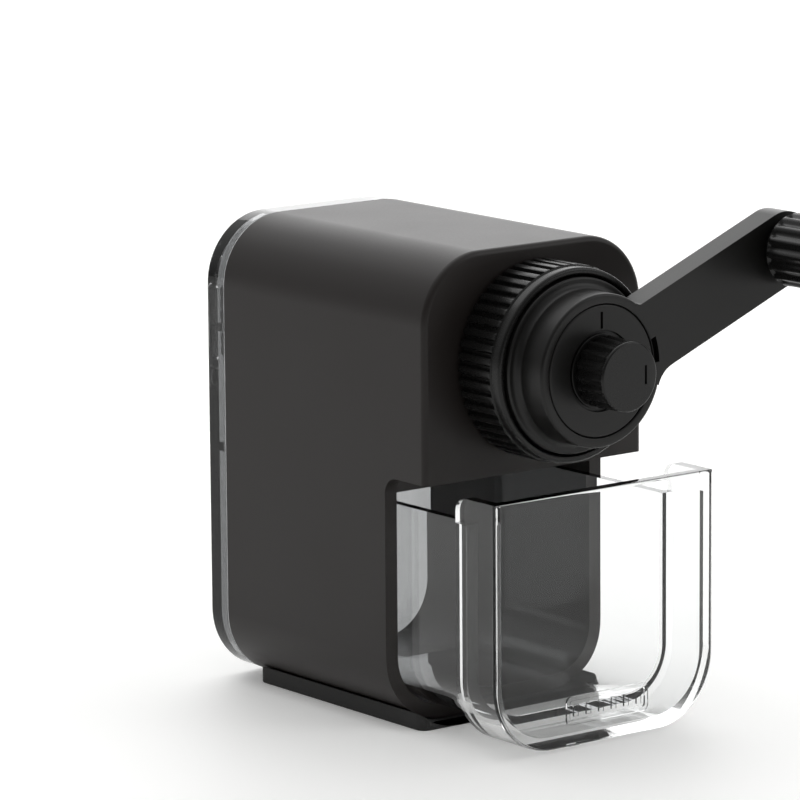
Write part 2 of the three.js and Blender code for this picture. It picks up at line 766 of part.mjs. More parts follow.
function cutterCarrier() {
  const boss = rodY(carrierRadius, carrierFrontEnd, carrierFrontFace, 0, 0, 48);
  const disc = rodY(carrierRearDisc, carrierDiscFront, carrierDiscRear, 0, 0, 48);
  const flange = rodY(carrierFlangeRadius, carrierFrontFace - carrierFlange, carrierFrontFace, 0, 0, 48);
  const cradle = cut(
    block(
      -cradleHalfWidth, cradleHalfWidth, carrierFrontFace - 0.5, carrierDiscFront + 0.5,
      carrierBarLow, cradleTop,
    ),
    coneY(stopRadius, pencilBore, stopTip - stopPoint, gearPlane - gearFace),
    rodY(pencilBore, gearPlane - gearFace - 0.1, carrierDiscFront + 1),
  );
  const seatEnd = carrierFrontEnd + spigotLength + standOff;
  return cut(
    join(boss, flange, disc, cradle, carrierBar(-1), carrierBar(1)),
    rodY(spigotRadius + runningClearance, carrierFrontEnd - 1, seatEnd, 0, 0, 32),
    rodY(stopRadius + runningClearance, carrierFrontEnd, carrierFrontFace + 1, 0, 0, 16),
    rodY(pencilBore, carrierDiscFront - 1, carrierDiscRear + 1, 0, 0, 24),
    crankScrewHoles(screwRadius + runningClearance, carrierFrontEnd - 1, carrierFrontEnd + screwLength),
    axleHole(),
  );
}

function cutterAxle() {
  const front = alongCutter(carrierFrontFace) - axleSeat;
  return tilted(rodY(axleRadius, front, alongCutter(carrierDiscFront) + axleSeat, 0, 0, 16));
}

/** A prism along Y whose outline turns as it goes. */
function helicalPrism(outline, low, high, steps) {
  const geometry = new THREE.ExtrudeGeometry(outline, { depth: high - low, steps, bevelEnabled: false });
  const place = geometry.attributes.position;
  for (let i = 0; i < place.count; i += 1) {
    const angle = place.getZ(i) * fluteTwist;
    const [x, y] = [place.getX(i), place.getY(i)];
    place.setXY(i, x * Math.cos(angle) - y * Math.sin(angle), x * Math.sin(angle) + y * Math.cos(angle));
  }
  return solidOf(geometry.rotateX(Math.PI / 2).translate(0, high, 0));
}

const cutterEnd = -gearFace / 2 - cutterNeck;

function helicalCutter() {
  const root = cutterRadius - fluteDepth;
  const tooth = [[0, cutterRadius], [0.12, cutterRadius], [0.45, root], [0.8, root]];
  const flutes = helicalPrism(toothedOutline(cutterFlutes, tooth), cutterEnd - cutterLength, cutterEnd, 8);
  const bore = rodY(axleRadius + runningClearance, cutterEnd - cutterLength - 1, cutterEnd + 1, 0, 0, 16);
  return tilted(cut(flutes, bore));
}

function cutterPinion() {
  const [tip, root] = [pinionPitch + toothReach, pinionPitch - toothRoot];
  const tooth = [[-0.13, tip], [0.13, tip], [0.26, root], [0.74, root]];
  const wheel = prismY(toothedOutline(pinionTeeth, tooth), -gearFace / 2, gearFace / 2).rotate(0, 90, 0);
  const neck = rodY(root - 0.3, cutterEnd + 0.05, 0);
  const bore = rodY(axleRadius + runningClearance, cutterEnd - 1, gearFace, 0, 0, 16);
  return tilted(cut(join(wheel, neck), bore));
}

function ringGear() {
  const [tip, root] = [ringPitch - toothReach, ringPitch + toothRoot];
  const half = gearFace / 2 - 0.1;
  const tooth = [[-0.13, tip], [0.13, tip], [0.24, root], [0.76, root]];
  const rim = rodY(ringOuter, gearPlane - half, gearPlane + half, 0, 0, 68);
  const teeth = prismY(toothedOutline(ringTeeth, tooth), gearPlane - gearFace, gearPlane + gearFace);
  const halfPitch = 180 / ringTeeth;
  const meshAngle = THREE.MathUtils.radToDeg(armAngle);
  return cut(rim, teeth.rotate(0, 90 + halfPitch - meshAngle, 0));
}

// ---------------------------------------------------------------- inner frames and fixings

/** Plate that fills the shell's section above a given height. */
function innerPlate(low, high, bottom) {
  const plate = prismY(shellOutline(shellWall + frameClearance), low, high);
  return cut(plate, block(-bodyWidth, bodyWidth, low - 1, high + 1, -1, bottom));
}

/** Holes for the guide rods or their springs. */
function rodHoles(radius, low, high) {
  return join(...[-1, 1].map((side) => rodY(radius, low, high, side * rodOffset, rodHeight, 20)));
}

/** Holes for the screws that hold an inner plate. */
function plateScrewHoles(low, high) {
  const radius = screwRadius + 2 * runningClearance;
  return join(...[-1, 1].map((side) => rodY(radius, low, high, side * screwOffset, screwHeight, 12)));
}

function gearFrame() {
  const front = gearPlane - gearFace / 2 - frameLip;
  const rear = front + frameLip + frameWall;
  const seat = rodY(ringOuter + runningClearance, front + frameLip, rear + 1, 0, axisHeight, 68);
  const lip = rodY(ringPitch + toothRoot, front - 1, rear + 1, 0, axisHeight, 68);
  const springHoles = rodHoles(springRadius + springRoom, front - 1, rear + 1);
  const plate = innerPlate(front, rear, frameBottom);
  return cut(plate, seat, lip, springHoles, plateScrewHoles(front - 1, rear + 1));
}

/** Rear plate with the tube that leads the pencil to the cutter. */
function guidePlate() {
  const front = guideRear - guideWall;
  const plate = innerPlate(front, guideRear, shoulderHeight - lintelDrop);
  const tube = rodY(guideTubeRadius, guideTubeFront, guideRear, 0, axisHeight, 32);
  const bore = rodY(pencilBore, guideTubeFront - 1, guideRear + 1, 0, axisHeight, 24);
  const mouth = guideTubeRadius - 0.6;
  const funnel = coneY(pencilBore - 0.4, mouth, guideRear - 2, guideRear + 0.01, 0, axisHeight, 24);
  const rods = rodHoles(rodRadius + rodClearance, front - 1, guideRear + 1);
  return cut(join(plate, tube), bore, funnel, rods, plateScrewHoles(front - 1, guideRear + 1));
}

// ---------------------------------------------------------------- faceplate and pencil grip

/** Outline of the opening that the grip housing fills, grown by a margin. */
function gripperOutline(margin) {
  return roundedRectangle(
    -gripperHalfWidth - margin, gripperHalfWidth + margin,
    axisHeight - gripperHalfHeight - margin, axisHeight + gripperHalfHeight + margin, gripperCorner + margin,
  );
}

function rearFaceplate() {
  const front = rearFace - faceplateDepth;
  const geometry = new THREE.ExtrudeGeometry(shellOutline(faceplateRounding), {
    depth: bodyDepth, curveSegments: 5, bevelEnabled: true,
    bevelThickness: faceplateRounding, bevelSize: faceplateRounding, bevelSegments: 2,
  });
  const whole = solidOf(geometry.rotateX(Math.PI / 2).translate(0, rearFace - faceplateRounding, 0));
  const reach = bodyWidth + bodyHeight;
  const slab = cut(whole, block(-reach, reach, frontFace - reach, front, -reach, reach));
  const cavity = prismY(shellOutline(faceplateWall), front - 1, rearFace - faceplateWall);
  const bayHalfWidth = gripperHalfWidth + pinchTravel + tabReach + 2 * standOff;
  const bayHalfHeight = tabHalfHeight + standOff;
  const opening = join(
    prismY(gripperOutline(gripperGap), front, rearFace + 1),
    block(
      -bayHalfWidth, bayHalfWidth, front, rearFace + 1,
      axisHeight - bayHalfHeight, axisHeight + bayHalfHeight,
    ),
  );
  const lugs = lugHeights.flatMap((z) => [-1, 1].map((side) => {
    const across = [innerHalfWidth - lugReach, innerHalfWidth + 1].map((x) => side * x);
    const [low, high] = across.sort((a, b) => a - b);
    return block(low, high, front, rearFace - faceplateWall + 0.5, z - lugHeight / 2, z + lugHeight / 2);
  }));
  const rodSeats = join(...[-1, 1].map((side) => (
    rodY(
      rodRadius + rodSeatWall, front + rodSeatInset, rearFace - faceplateWall + 0.5,
      side * rodOffset, rodHeight, 20,
    )
  )));
  const solid = join(cut(slab, cavity), ...lugs, rodSeats);
  return cut(solid, opening, rodHoles(rodRadius + pressGap, front - 1, rearFace - 1));
}

function gripperHousing() {
  const shell = cut(
    prismY(gripperOutline(0), gripperFront, gripperRear),
    prismY(gripperOutline(-gripperWall), gripperFront - 1, gripperRear - gripperWall),
  );
  const port = rodY(portRadius, gripperRear - gripperWall - 1, gripperRear + 1, 0, axisHeight, 32);
  const chamferFront = gripperRear - portChamferDepth;
  const chamfer = [portRadius - 0.2, portRadius + portChamfer];
  const mouth = coneY(...chamfer, chamferFront, gripperRear + 0.01, 0, axisHeight, 32);
  const slotHalf = sliderHalfHeight + runningClearance + 0.1;
  const slot = block(
    -bodyWidth, bodyWidth, sliderFront(0) - standOff, sliderFront(1) + sliderWall + standOff,
    axisHeight - slotHalf, axisHeight + slotHalf,
  );
  return cut(shell, port, mouth, slot);
}

function gripperCover() {
  const rear = gripperFront + coverWall;
  const plate = prismY(gripperOutline(-gripperWall - runningClearance), gripperFront + coverInset, rear);
  return cut(plate, rodY(portRadius, gripperFront - 1, rear + 1, 0, axisHeight, 32));
}

/** Front of each of the two stacked slider plates. */
function sliderFront(layer) {
  return gripperFront + coverWall + standOff + layer * (sliderWall + standOff);
}

/** Slider with a finger tab outside one side of the housing and a jaw on the pencil's other side. */
function pinchTab(side) {
  const layer = side < 0 ? 0 : 1;
  const front = sliderFront(layer);
  const outer = gripperHalfWidth + standOff + pinchTravel;
  const inner = gripperHalfWidth - gripperWall - tabSpringLength - standOff;
  const plate = block(
    -outer - 1, inner, front, front + sliderWall,
    axisHeight - sliderHalfHeight, axisHeight + sliderHalfHeight,
  );
  const tab = prismY(
    roundedRectangle(
      -outer - tabReach, -outer, axisHeight - tabHalfHeight, axisHeight + tabHalfHeight, tabCorner,
    ),
    front, gripperRear - tabInset,
  );
  const window = prismY(windowOutline(), front - 1, front + sliderWall + 1);
  const left = cut(join(plate, tab), window);
  return side < 0 ? left : left.mirror([1, 0, 0]);
}

/** Pencil window of the left slider: its right edge is the jaw, notched to hold a pencil. */
function windowOutline() {
  const reach = portRadius + pinchTravel;
  const shape = new THREE.Shape();
  shape.moveTo(-reach, axisHeight - jawHalfHeight);
  shape.lineTo(jawRest + jawFlare, axisHeight - jawHalfHeight);
  shape.lineTo(jawRest, axisHeight - jawNotchHalf);
  shape.lineTo(jawRest + jawNotch, axisHeight);
  shape.lineTo(jawRest, axisHeight + jawNotchHalf);
  shape.lineTo(jawRest + jawFlare, axisHeight + jawHalfHeight);
  shape.lineTo(-reach, axisHeight + jawHalfHeight);
  return shape;
}

/** Small spring that pushes a slider back out. */
function tabSpring(side) {
  const high = gripperHalfWidth - gripperWall - tabSpringGap;
  const low = high - tabSpringLength + tabSpringGap;
  const layer = side < 0 ? 0 : 1;
  const radius = sliderWall / 2 - 0.2;
  const coil = coilSpring(radius, low, high, tabSpringTurns, tabSpringWire).rotateZ(-Math.PI / 2);
  coil.translate(0, sliderFront(layer) + sliderWall / 2, axisHeight);
  if (side > 0) coil.rotateZ(Math.PI).translate(0, 2 * (sliderFront(layer) + sliderWall / 2), 0);
  return coil;
}

function guideRod(side) {
  return rodY(rodRadius, rodFront, rearFace - faceplateWall - seatGap, side * rodOffset, rodHeight, 20);
}

function rodClip(side) {
  const front = rodFront + clipInset;
  const ring = rodY(clipRadius, front, front + clipWall, side * rodOffset, rodHeight, 20);
  const hole = rodY(rodRadius + pressGap, front - 1, front + clipWall + 1, side * rodOffset, rodHeight, 20);
  return cut(ring, hole);
}

function feedSpring(side) {
  const low = rodFront + clipInset + clipWall + springWire + seatGap;
  const high = guideRear - guideWall - springWire - seatGap;
  const coil = coilSpring(springRadius, low, high, feedSpringTurns, springWire);
  return coil.translate(side * rodOffset, 0, rodHeight);
}

// ---------------------------------------------------------------- assembly

const sharpener = new THREE.Group();

const frameScrewSeat = gearPlane - gearFace / 2 + frameWall + seatGap;
const guideScrewSeat = guideRear + seatGap;
sharpener.add(
  piece('body_shell', bodyShell(), shellBlack),
  piece('base_foot', baseFoot(), rubberBlack),
  piece('gear_frame', gearFrame(), innerGrey),
  piece('guide_plate', guidePlate(), innerGrey),
  piece('drawer', drawer(), clearPlastic),
);
for (const [word, side] of [['left', -1], ['right', 1]]) {
  const screwX = side * screwOffset;
  sharpener.add(
    piece(`frame_screw_${word}`, screwY(frameScrewSeat, 1, screwX, screwHeight), brightSteel),
    piece(`guide_screw_${word}`, screwY(guideScrewSeat, 1, screwX, screwHeight), brightSteel),
    piece(`guide_rod_${word}`, guideRod(side), brightSteel),
    piece(`rod_clip_${word}`, rodClip(side), brightSteel),
    piece(`feed_spring_${word}`, feedSpring(side), brightSteel),
    piece(`pinch_tab_${word}`, pinchTab(side), knobBlack),
    piece(`tab_spring_${word}`, tabSpring(side), brightSteel),
  );
}
sharpener.add(
  piece('rear_faceplate', rearFaceplate(), clearPlastic),
  piece('gripper_housing', gripperHousing(), knobBlack),
  piece('gripper_cover', gripperCover(), knobBlack),
);

// Pieces centred on the main axis that stay upright.
const axis = new THREE.Group();
axis.position.z = axisHeight;
axis.add(
  piece('bearing_sleeve', bearingSleeve(), innerGrey),
  piece('lock_ring', lockRing(), knobBlack),
  piece('ring_gear', ringGear(), gearNylon),
);
sharpener.add(axis);

// Everything that turns with the crank is built with the arm along +X, then lifted to its rest angle.
const crank = new THREE.Group();
crank.position.z = axisHeight;
crank.rotation.y = -armAngle;
const crankScrewSeat = pocketFloor - seatGap;
crank.add(
  piece('crank_arm', crankArm(), crankBlack),
  piece('hub_cap', hubCap(), crankBlack),
  piece('crank_screw_upper', screwY(crankScrewSeat, -1, 0, crankScrewOffset), brightSteel),
  piece('crank_screw_lower', screwY(crankScrewSeat, -1, 0, -crankScrewOffset), brightSteel),
  piece('cutter_carrier', cutterCarrier(), innerGrey),
  piece('cutter_axle', cutterAxle(), brightSteel),
  piece('helical_cutter', helicalCutter(), cutterSteel),
  piece('cutter_pinion', cutterPinion(), gearNylon),
  piece('adjuster_knob', adjusterKnob(), knobBlack),
  piece('depth_stop', depthStop(), brightSteel),
  piece('handle_pin', handlePin(), brightSteel),
  piece('handle_grip', handleGrip(), knobBlack),
  piece('grip_cap', gripCap(), knobBlack),
);
sharpener.add(crank);

export default sharpener;
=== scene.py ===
"""Fine visual model of a hand-cranked desk pencil sharpener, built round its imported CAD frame.

Sizes in the classes are millimetres. Every finished piece is in metres, in the frame's own axes:
+Z up, -Y towards the crank and the drawer, +Y towards the faceplate where the pencil goes in.
"""
import logging
import math
from collections.abc import Callable, Iterable, Sequence
from dataclasses import dataclass, field
from enum import Enum
from typing import Any

import bmesh
import bpy
from mathutils import Matrix, Vector


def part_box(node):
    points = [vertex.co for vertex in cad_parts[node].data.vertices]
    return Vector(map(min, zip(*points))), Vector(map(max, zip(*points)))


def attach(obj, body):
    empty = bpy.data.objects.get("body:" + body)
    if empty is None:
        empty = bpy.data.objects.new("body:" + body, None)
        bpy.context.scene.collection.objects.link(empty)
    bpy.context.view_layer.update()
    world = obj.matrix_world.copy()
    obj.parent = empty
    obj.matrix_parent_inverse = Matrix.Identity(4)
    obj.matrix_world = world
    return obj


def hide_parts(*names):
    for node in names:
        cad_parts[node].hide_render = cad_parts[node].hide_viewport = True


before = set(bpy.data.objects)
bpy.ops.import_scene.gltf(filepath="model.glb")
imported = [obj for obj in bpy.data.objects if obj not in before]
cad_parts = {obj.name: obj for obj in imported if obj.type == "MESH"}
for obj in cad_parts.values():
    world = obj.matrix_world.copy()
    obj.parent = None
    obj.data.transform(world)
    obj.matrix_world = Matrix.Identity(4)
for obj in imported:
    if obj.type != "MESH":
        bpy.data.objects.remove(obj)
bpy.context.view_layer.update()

MM = 0.001
EDGE_REACH = 1e-4
Corner = tuple[float, float, float]
Colour = tuple[float, float, float]

logging.basicConfig(level=logging.INFO, format="%(message)s")
log = logging.getLogger("sharpener")


class Axis(Enum):
    """The axis that a prism runs along."""

    X = 0
    Y = 1
    Z = 2

    def point(self, u: float, v: float, along: float) -> Vector:
        """Place an outline's point in space.

        Args:
            u: First outline coordinate.
            v: Second outline coordinate.
            along: Place along the axis.

        Returns:
            The point in space.
        """
        orders = {Axis.X: (along, u, v), Axis.Y: (u, along, v), Axis.Z: (u, v, along)}
        return Vector(orders[self])

    def step(self, length: float) -> Vector:
        """Return a move of the given length along the axis."""
        return self.point(0.0, 0.0, length)


class Body(Enum):
    """The moving bodies of the frame."""

    HOUSING = "housing"
    DRAWER = "drawer"
    LOCK_RING = "lock_ring"
    CRANK = "crank"
    CUTTER = "cutter"
    HANDLE = "handle"
    ADJUSTER = "adjuster"
    DEPTH_STOP = "depth_stop"
    FEEDER = "feeder"
    TAB_LEFT = "tab_left"
    TAB_RIGHT = "tab_right"


class Side(Enum):
    """Left or right, seen from the crank side."""

    LEFT = -1
    RIGHT = 1

    @property
    def word(self) -> str:
        """The word used in names."""
        return self.name.lower()


# ---------------------------------------------------------------- shader wiring


class Wire:
    """A shader value that can be used in sums."""

    def __init__(self, recipe: "Recipe", socket: bpy.types.NodeSocket) -> None:
        """Hold a socket of a recipe.

        Args:
            recipe: The recipe that the socket belongs to.
            socket: The output socket.
        """
        self.recipe = recipe
        self.socket = socket

    def _maths(self, operation: str, *values: Any) -> "Wire":
        """Wire a Math node.

        Args:
            operation: The Math node's operation.
            values: Its inputs, as wires or numbers.

        Returns:
            The node's result.
        """
        inputs = dict(enumerate(values))
        node = self.recipe.node("ShaderNodeMath", {"operation": operation}, inputs)
        return Wire(self.recipe, node.outputs[0])

    def __add__(self, other: Any) -> "Wire":
        """Return self + other."""
        return self._maths("ADD", self, other)

    def __radd__(self, other: Any) -> "Wire":
        """Return other + self."""
        return self._maths("ADD", other, self)

    def __sub__(self, other: Any) -> "Wire":
        """Return self - other."""
        return self._maths("SUBTRACT", self, other)

    def __rsub__(self, other: Any) -> "Wire":
        """Return other - self."""
        return self._maths("SUBTRACT", other, self)

    def __mul__(self, other: Any) -> "Wire":
        """Return self * other."""
        return self._maths("MULTIPLY", self, other)

    def __rmul__(self, other: Any) -> "Wire":
        """Return other * self."""
        return self._maths("MULTIPLY", other, self)

    def __truediv__(self, other: Any) -> "Wire":
        """Return self / other."""
        return self._maths("DIVIDE", self, other)

    def __rtruediv__(self, other: Any) -> "Wire":
        """Return other / self."""
        return self._maths("DIVIDE", other, self)

    def __pow__(self, other: Any) -> "Wire":
        """Return self to the power of other."""
        return self._maths("POWER", self, other)

    def clipped(self, low: float, high: float) -> "Wire":
        """Return the value kept between low and high."""
        return self._maths("MINIMUM", self._maths("MAXIMUM", self, low), high)


class Recipe:
    """A node tree being put together, for a material or for the world."""

    def __init__(self, owner: bpy.types.Material | bpy.types.World) -> None:
        """Start an empty node tree.

        Args:
            owner: The material or the world that the tree belongs to.
        """
        self.owner = owner
        owner.use_nodes = True
        self.tree = owner.node_tree
        self.tree.nodes.clear()

    @classmethod
    def named(cls, name: str) -> "Recipe":
        """Start a new material of the given name."""
        return cls(bpy.data.materials.new(name))

    def node(self, kind: str, settings: dict[str, Any], inputs: dict[Any, Any]) -> bpy.types.Node:
        """Add any node.

        Args:
            kind: The node's type name.
            settings: Its properties.
            inputs: Its inputs by name or number, as wires, sockets or plain values.

        Returns:
            The new node.
        """
        node = self.tree.nodes.new(kind)
        for key, value in settings.items():
            setattr(node, key, value)
        for key, value in inputs.items():
            if isinstance(value, Wire):
                self.tree.links.new(value.socket, node.inputs[key])
            elif isinstance(value, bpy.types.NodeSocket):
                self.tree.links.new(value, node.inputs[key])
            else:
                node.inputs[key].default_value = value
        return node

    def place(self, stretch: Colour = (1.0, 1.0, 1.0)) -> Wire:
        """Return Object coordinates.

        Args:
            stretch: A scale for each axis.

        Returns:
            The coordinates, scaled.
        """
        coordinates = self.node("ShaderNodeTexCoord", {}, {})
        mapping = self.node(
            "ShaderNodeMapping", {}, {"Vector": coordinates.outputs["Object"], "Scale": stretch}
        )
        return Wire(self, mapping.outputs["Vector"])

    def noise(self, place: Wire, feature_mm: float, detail: float = 2.0) -> Wire:
        """Return a noise value from 0 to 1.

        Args:
            place: Where it is read.
            feature_mm: The size of one patch.
            detail: How many finer layers it has.

        Returns:
            The noise.
        """
        node = self.node(
            "ShaderNodeTexNoise", {}, {"Vector": place, "Scale": 1.0 / (feature_mm * MM), "Detail": detail}
        )
        return Wire(self, node.outputs[0])

    def cells(self, place: Wire, feature_mm: float) -> Wire:
        """Return the distance inside small cells.

        Args:
            place: Where it is read.
            feature_mm: The size of one cell.

        Returns:
            The distance.
        """
        node = self.node("ShaderNodeTexVoronoi", {}, {"Vector": place, "Scale": 1.0 / (feature_mm * MM)})
        return Wire(self, node.outputs["Distance"])

    def blend(self, share: Wire, first: Colour, second: Colour) -> Wire:
        """Mix two colours.

        Args:
            share: How much of the second colour shows.
            first: The colour at 0.
            second: The colour at 1.

        Returns:
            The mixed colour.
        """
        node = self.node(
            "ShaderNodeMix", {"data_type": "RGBA"}, {0: share, 6: (*first, 1.0), 7: (*second, 1.0)}
        )
        return Wire(self, node.outputs[2])

    def bump(self, height: Wire, depth_mm: float, strength: float = 1.0) -> Wire:
        """Return a normal raised by a height.

        Args:
            height: The height from 0 to 1.
            depth_mm: How far a height of 1 rises.
            strength: How much of it shows.

        Returns:
            The normal.
        """
        node = self.node(
            "ShaderNodeBump", {}, {"Height": height, "Distance": depth_mm * MM, "Strength": strength}
        )
        return Wire(self, node.outputs["Normal"])

    def finish(self, shader: bpy.types.NodeSocket) -> bpy.types.Material:
        """Close the material with a shader.

        Args:
            shader: The surface shader.

        Returns:
            The material.
        """
        self.node("ShaderNodeOutputMaterial", {}, {"Surface": shader})
        return self.owner


# ---------------------------------------------------------------- finishes


@dataclass(frozen=True)
class MouldedPlastic:
    """Opaque moulded plastic with a spark-eroded grain."""

    name: str
    slot: str
    colour: Colour
    roughness: float = 0.45
    grain_mm: float = 0.28
    grain_depth_mm: float = 0.012
    mottle: float = 0.18
    specular: float = 0.5

    def build(self) -> bpy.types.Material:
        """Return the material."""
        recipe = Recipe.named(self.name)
        place = recipe.place()
        grain = recipe.noise(place, self.grain_mm, 3.0)
        pits = recipe.cells(place, self.grain_mm * 0.8)
        flow = recipe.noise(place, 22.0, 2.0)
        dust = recipe.noise(place, 0.9, 1.0) ** 9.0
        dark = tuple(channel * (1.0 - self.mottle) for channel in self.colour)
        light = tuple(channel * (1.0 + self.mottle) for channel in self.colour)
        colour = recipe.blend((flow * 0.8 + grain * 0.2 + dust * 0.8).clipped(0.0, 1.0), dark, light)
        roughness = (self.roughness + (flow - 0.5) * 0.10 + (grain - 0.5) * 0.08).clipped(0.05, 1.0)
        normal = recipe.bump(grain * 0.6 + pits * 0.4, self.grain_depth_mm)
        shader = recipe.node(
            "ShaderNodeBsdfPrincipled",
            {},
            {
                "Base Color": colour,
                "Roughness": roughness,
                "Normal": normal,
                "Specular IOR Level": self.specular,
            },
        )
        return recipe.finish(shader.outputs[0])


@dataclass(frozen=True)
class ClearPlastic:
    """Polished clear plastic with faint handling marks."""

    name: str
    slot: str
    tint: Colour = (0.985, 0.99, 0.99)
    shadow: float = 0.93
    facing_gloss: float = 0.4
    ior: float = 1.5

    def build(self) -> bpy.types.Material:
        """Return the material."""
        recipe = Recipe.named(self.name)
        place = recipe.place()
        smudge = recipe.noise(place, 9.0, 3.0)
        flow = recipe.noise(recipe.place((1.0, 1.0, 0.3)), 14.0, 1.0)
        roughness = ((smudge - 0.55).clipped(0.0, 1.0) * 0.12 + 0.006).clipped(0.0, 0.05)
        colour = recipe.blend(flow, self.tint, tuple(channel * 0.985 for channel in self.tint))
        shader = recipe.node(
            "ShaderNodeBsdfPrincipled",
            {},
            {
                "Base Color": colour,
                "Roughness": roughness,
                "Normal": recipe.bump(flow, 0.02),
                "IOR": self.ior,
                "Specular Tint": (self.facing_gloss, self.facing_gloss, self.facing_gloss, 1.0),
                "Transmission Weight": 1.0,
            },
        )
        lamp_ray = recipe.node("ShaderNodeLightPath", {}, {})
        let_through = (self.shadow, self.shadow, self.shadow, 1.0)
        passing = recipe.node("ShaderNodeBsdfTransparent", {}, {"Color": let_through})
        mixed = recipe.node(
            "ShaderNodeMixShader",
            {},
            {0: lamp_ray.outputs["Is Shadow Ray"], 1: shader.outputs[0], 2: passing.outputs[0]},
        )
        return recipe.finish(mixed.outputs[0])


@dataclass(frozen=True)
class WorkedMetal:
    """Bare or plated metal with fine lines along the main axis."""

    name: str
    slot: str
    colour: Colour
    roughness: float = 0.28
    line_mm: float = 0.12

    def build(self) -> bpy.types.Material:
        """Return the material."""
        recipe = Recipe.named(self.name)
        lines = recipe.noise(recipe.place((1.0, 0.06, 1.0)), self.line_mm, 3.0)
        cloud = recipe.noise(recipe.place(), 6.0, 2.0)
        dark = tuple(channel * 0.82 for channel in self.colour)
        shader = recipe.node(
            "ShaderNodeBsdfPrincipled",
            {},
            {
                "Base Color": recipe.blend(cloud * 0.6 + lines * 0.4, dark, self.colour),
                "Roughness": (self.roughness + (lines - 0.5) * 0.16 + (cloud - 0.5) * 0.1).clipped(0.05, 1.0),
                "Normal": recipe.bump(lines, 0.004),
                "Metallic": 1.0,
            },
        )
        return recipe.finish(shader.outputs[0])


@dataclass(frozen=True)
class Studio:
    """Pale floor, soft lamps and the camera."""

    floor_tone: Colour = (0.93, 0.93, 0.92)
    floor_size: float = 9.0
    azimuth: float = -37.815
    elevation: float = 10.768
    roll: float = -0.4308
    distance: float = 892.40
    aim_height: float = 49.0
    aim_right: float = -3.8486
    aim_up: float = 2.0058
    lens: float = 233.2
    sensor: float = 36.0
    sky_top: float = 0.74
    sky_low: float = 0.10
    sky_rise: tuple[float, float] = (-0.25, 0.75)
    sky_lean: float = 0.6
    floor_glow: float = 0.14

    def build(self) -> None:
        """Make the floor, the lamps and the camera."""
        self._floor()
        self._sky()
        self._lamps()
        self._camera()
        bpy.context.scene.view_settings.view_transform = "Standard"

    def _floor(self) -> None:
        """Make the floor."""
        recipe = Recipe.named("studio_floor")
        tone = recipe.noise(recipe.place(), 300.0, 2.0)
        shade = tuple(channel * 0.985 for channel in self.floor_tone)
        shader = recipe.node(
            "ShaderNodeBsdfPrincipled",
            {},
            {
                "Base Color": recipe.blend(tone, self.floor_tone, shade),
                "Roughness": 0.6,
                "Emission Color": (1.0, 1.0, 0.99, 1.0),
                "Emission Strength": self.floor_glow,
            },
        )
        sheet = bmesh.new()
        bmesh.ops.create_grid(sheet, x_segments=1, y_segments=1, size=self.floor_size / 2)
        mesh = bpy.data.meshes.new("studio_floor")
        sheet.to_mesh(mesh)
        sheet.free()
        mesh.materials.append(recipe.finish(shader.outputs[0]))
        floor = bpy.data.objects.new("studio_floor", mesh)
        bpy.context.scene.collection.objects.link(floor)

    def _sky(self) -> None:
        """Make the soft light from all round, brightest overhead and behind."""
        world = bpy.data.worlds.new("studio_sky")
        recipe = Recipe(world)
        direction = recipe.node("ShaderNodeTexCoord", {}, {}).outputs["Generated"]
        turn = math.radians(self.azimuth)
        lean = recipe.node(
            "ShaderNodeVectorMath",
            {"operation": "DOT_PRODUCT"},
            {0: direction, 1: (-math.sin(turn) * self.sky_lean, math.cos(turn) * self.sky_lean, 1.0)},
        )
        low, high = self.sky_rise
        rise = recipe.node(
            "ShaderNodeMapRange",
            {"interpolation_type": "SMOOTHSTEP"},
            {
                "Value": lean.outputs["Value"], "From Min": low, "From Max": high,
                "To Min": self.sky_low, "To Max": self.sky_top,
            },
        )
        glow = recipe.node(
            "ShaderNodeBackground", {}, {"Color": (1.0, 1.0, 1.0, 1.0), "Strength": rise.outputs["Result"]}
        )
        recipe.node("ShaderNodeOutputWorld", {}, {"Surface": glow.outputs[0]})
        bpy.context.scene.world = world

    def _lamps(self) -> None:
        """Hang the soft lamps."""
        self._lamp("top_softbox", Vector((0.1, 0.4, 1.1)), 1.2, 5.0)
        self._lamp("back_softbox", Vector((0.79, 1.02, 0.42)), 1.0, 4.3)
        self._lamp("right_softbox", Vector((0.9, -0.9, 0.6)), 0.7, 2.3)

    def _lamp(self, name: str, place: Vector, size: float, power: float) -> None:
        """Hang one square lamp that faces the object.

        Args:
            name: The lamp's name.
            place: Where it hangs, in metres.
            size: Its width, in metres.
            power: Its power, in watts.
        """
        lamp = bpy.data.lights.new(name, "AREA")
        lamp.shape = "SQUARE"
        lamp.size = size
        lamp.energy = power
        holder = bpy.data.objects.new(name, lamp)
        aim = Vector((0.0, 0.0, self.aim_height * MM)) - place
        holder.matrix_world = Matrix.Translation(place) @ aim.to_track_quat("-Z", "Y").to_matrix().to_4x4()
        bpy.context.scene.collection.objects.link(holder)

    def _camera(self) -> None:
        """Place the camera."""
        turn, rise, roll = (math.radians(a) for a in (self.azimuth, self.elevation, self.roll))
        back = Vector((
            math.sin(turn) * math.cos(rise),
            -math.cos(turn) * math.cos(rise),
            math.sin(rise),
        ))
        right = Vector((math.cos(turn), math.sin(turn), 0.0))
        up = back.cross(right)
        rolled_right = right * math.cos(roll) + up * math.sin(roll)
        rolled_up = up * math.cos(roll) - right * math.sin(roll)
        aim = Vector((0.0, 0.0, self.aim_height)) + rolled_right * self.aim_right + rolled_up * self.aim_up
        place = (aim + back * self.distance) * MM
        axes = Matrix((rolled_right, rolled_up, back)).transposed().to_4x4()
        lens = bpy.data.cameras.new("studio_camera")
        lens.lens = self.lens
        lens.sensor_width = self.sensor
        lens.clip_end = 20.0
        camera = bpy.data.objects.new("studio_camera", lens)
        camera.matrix_world = Matrix.Translation(place) @ axes
        bpy.context.scene.collection.objects.link(camera)
        bpy.context.scene.camera = camera


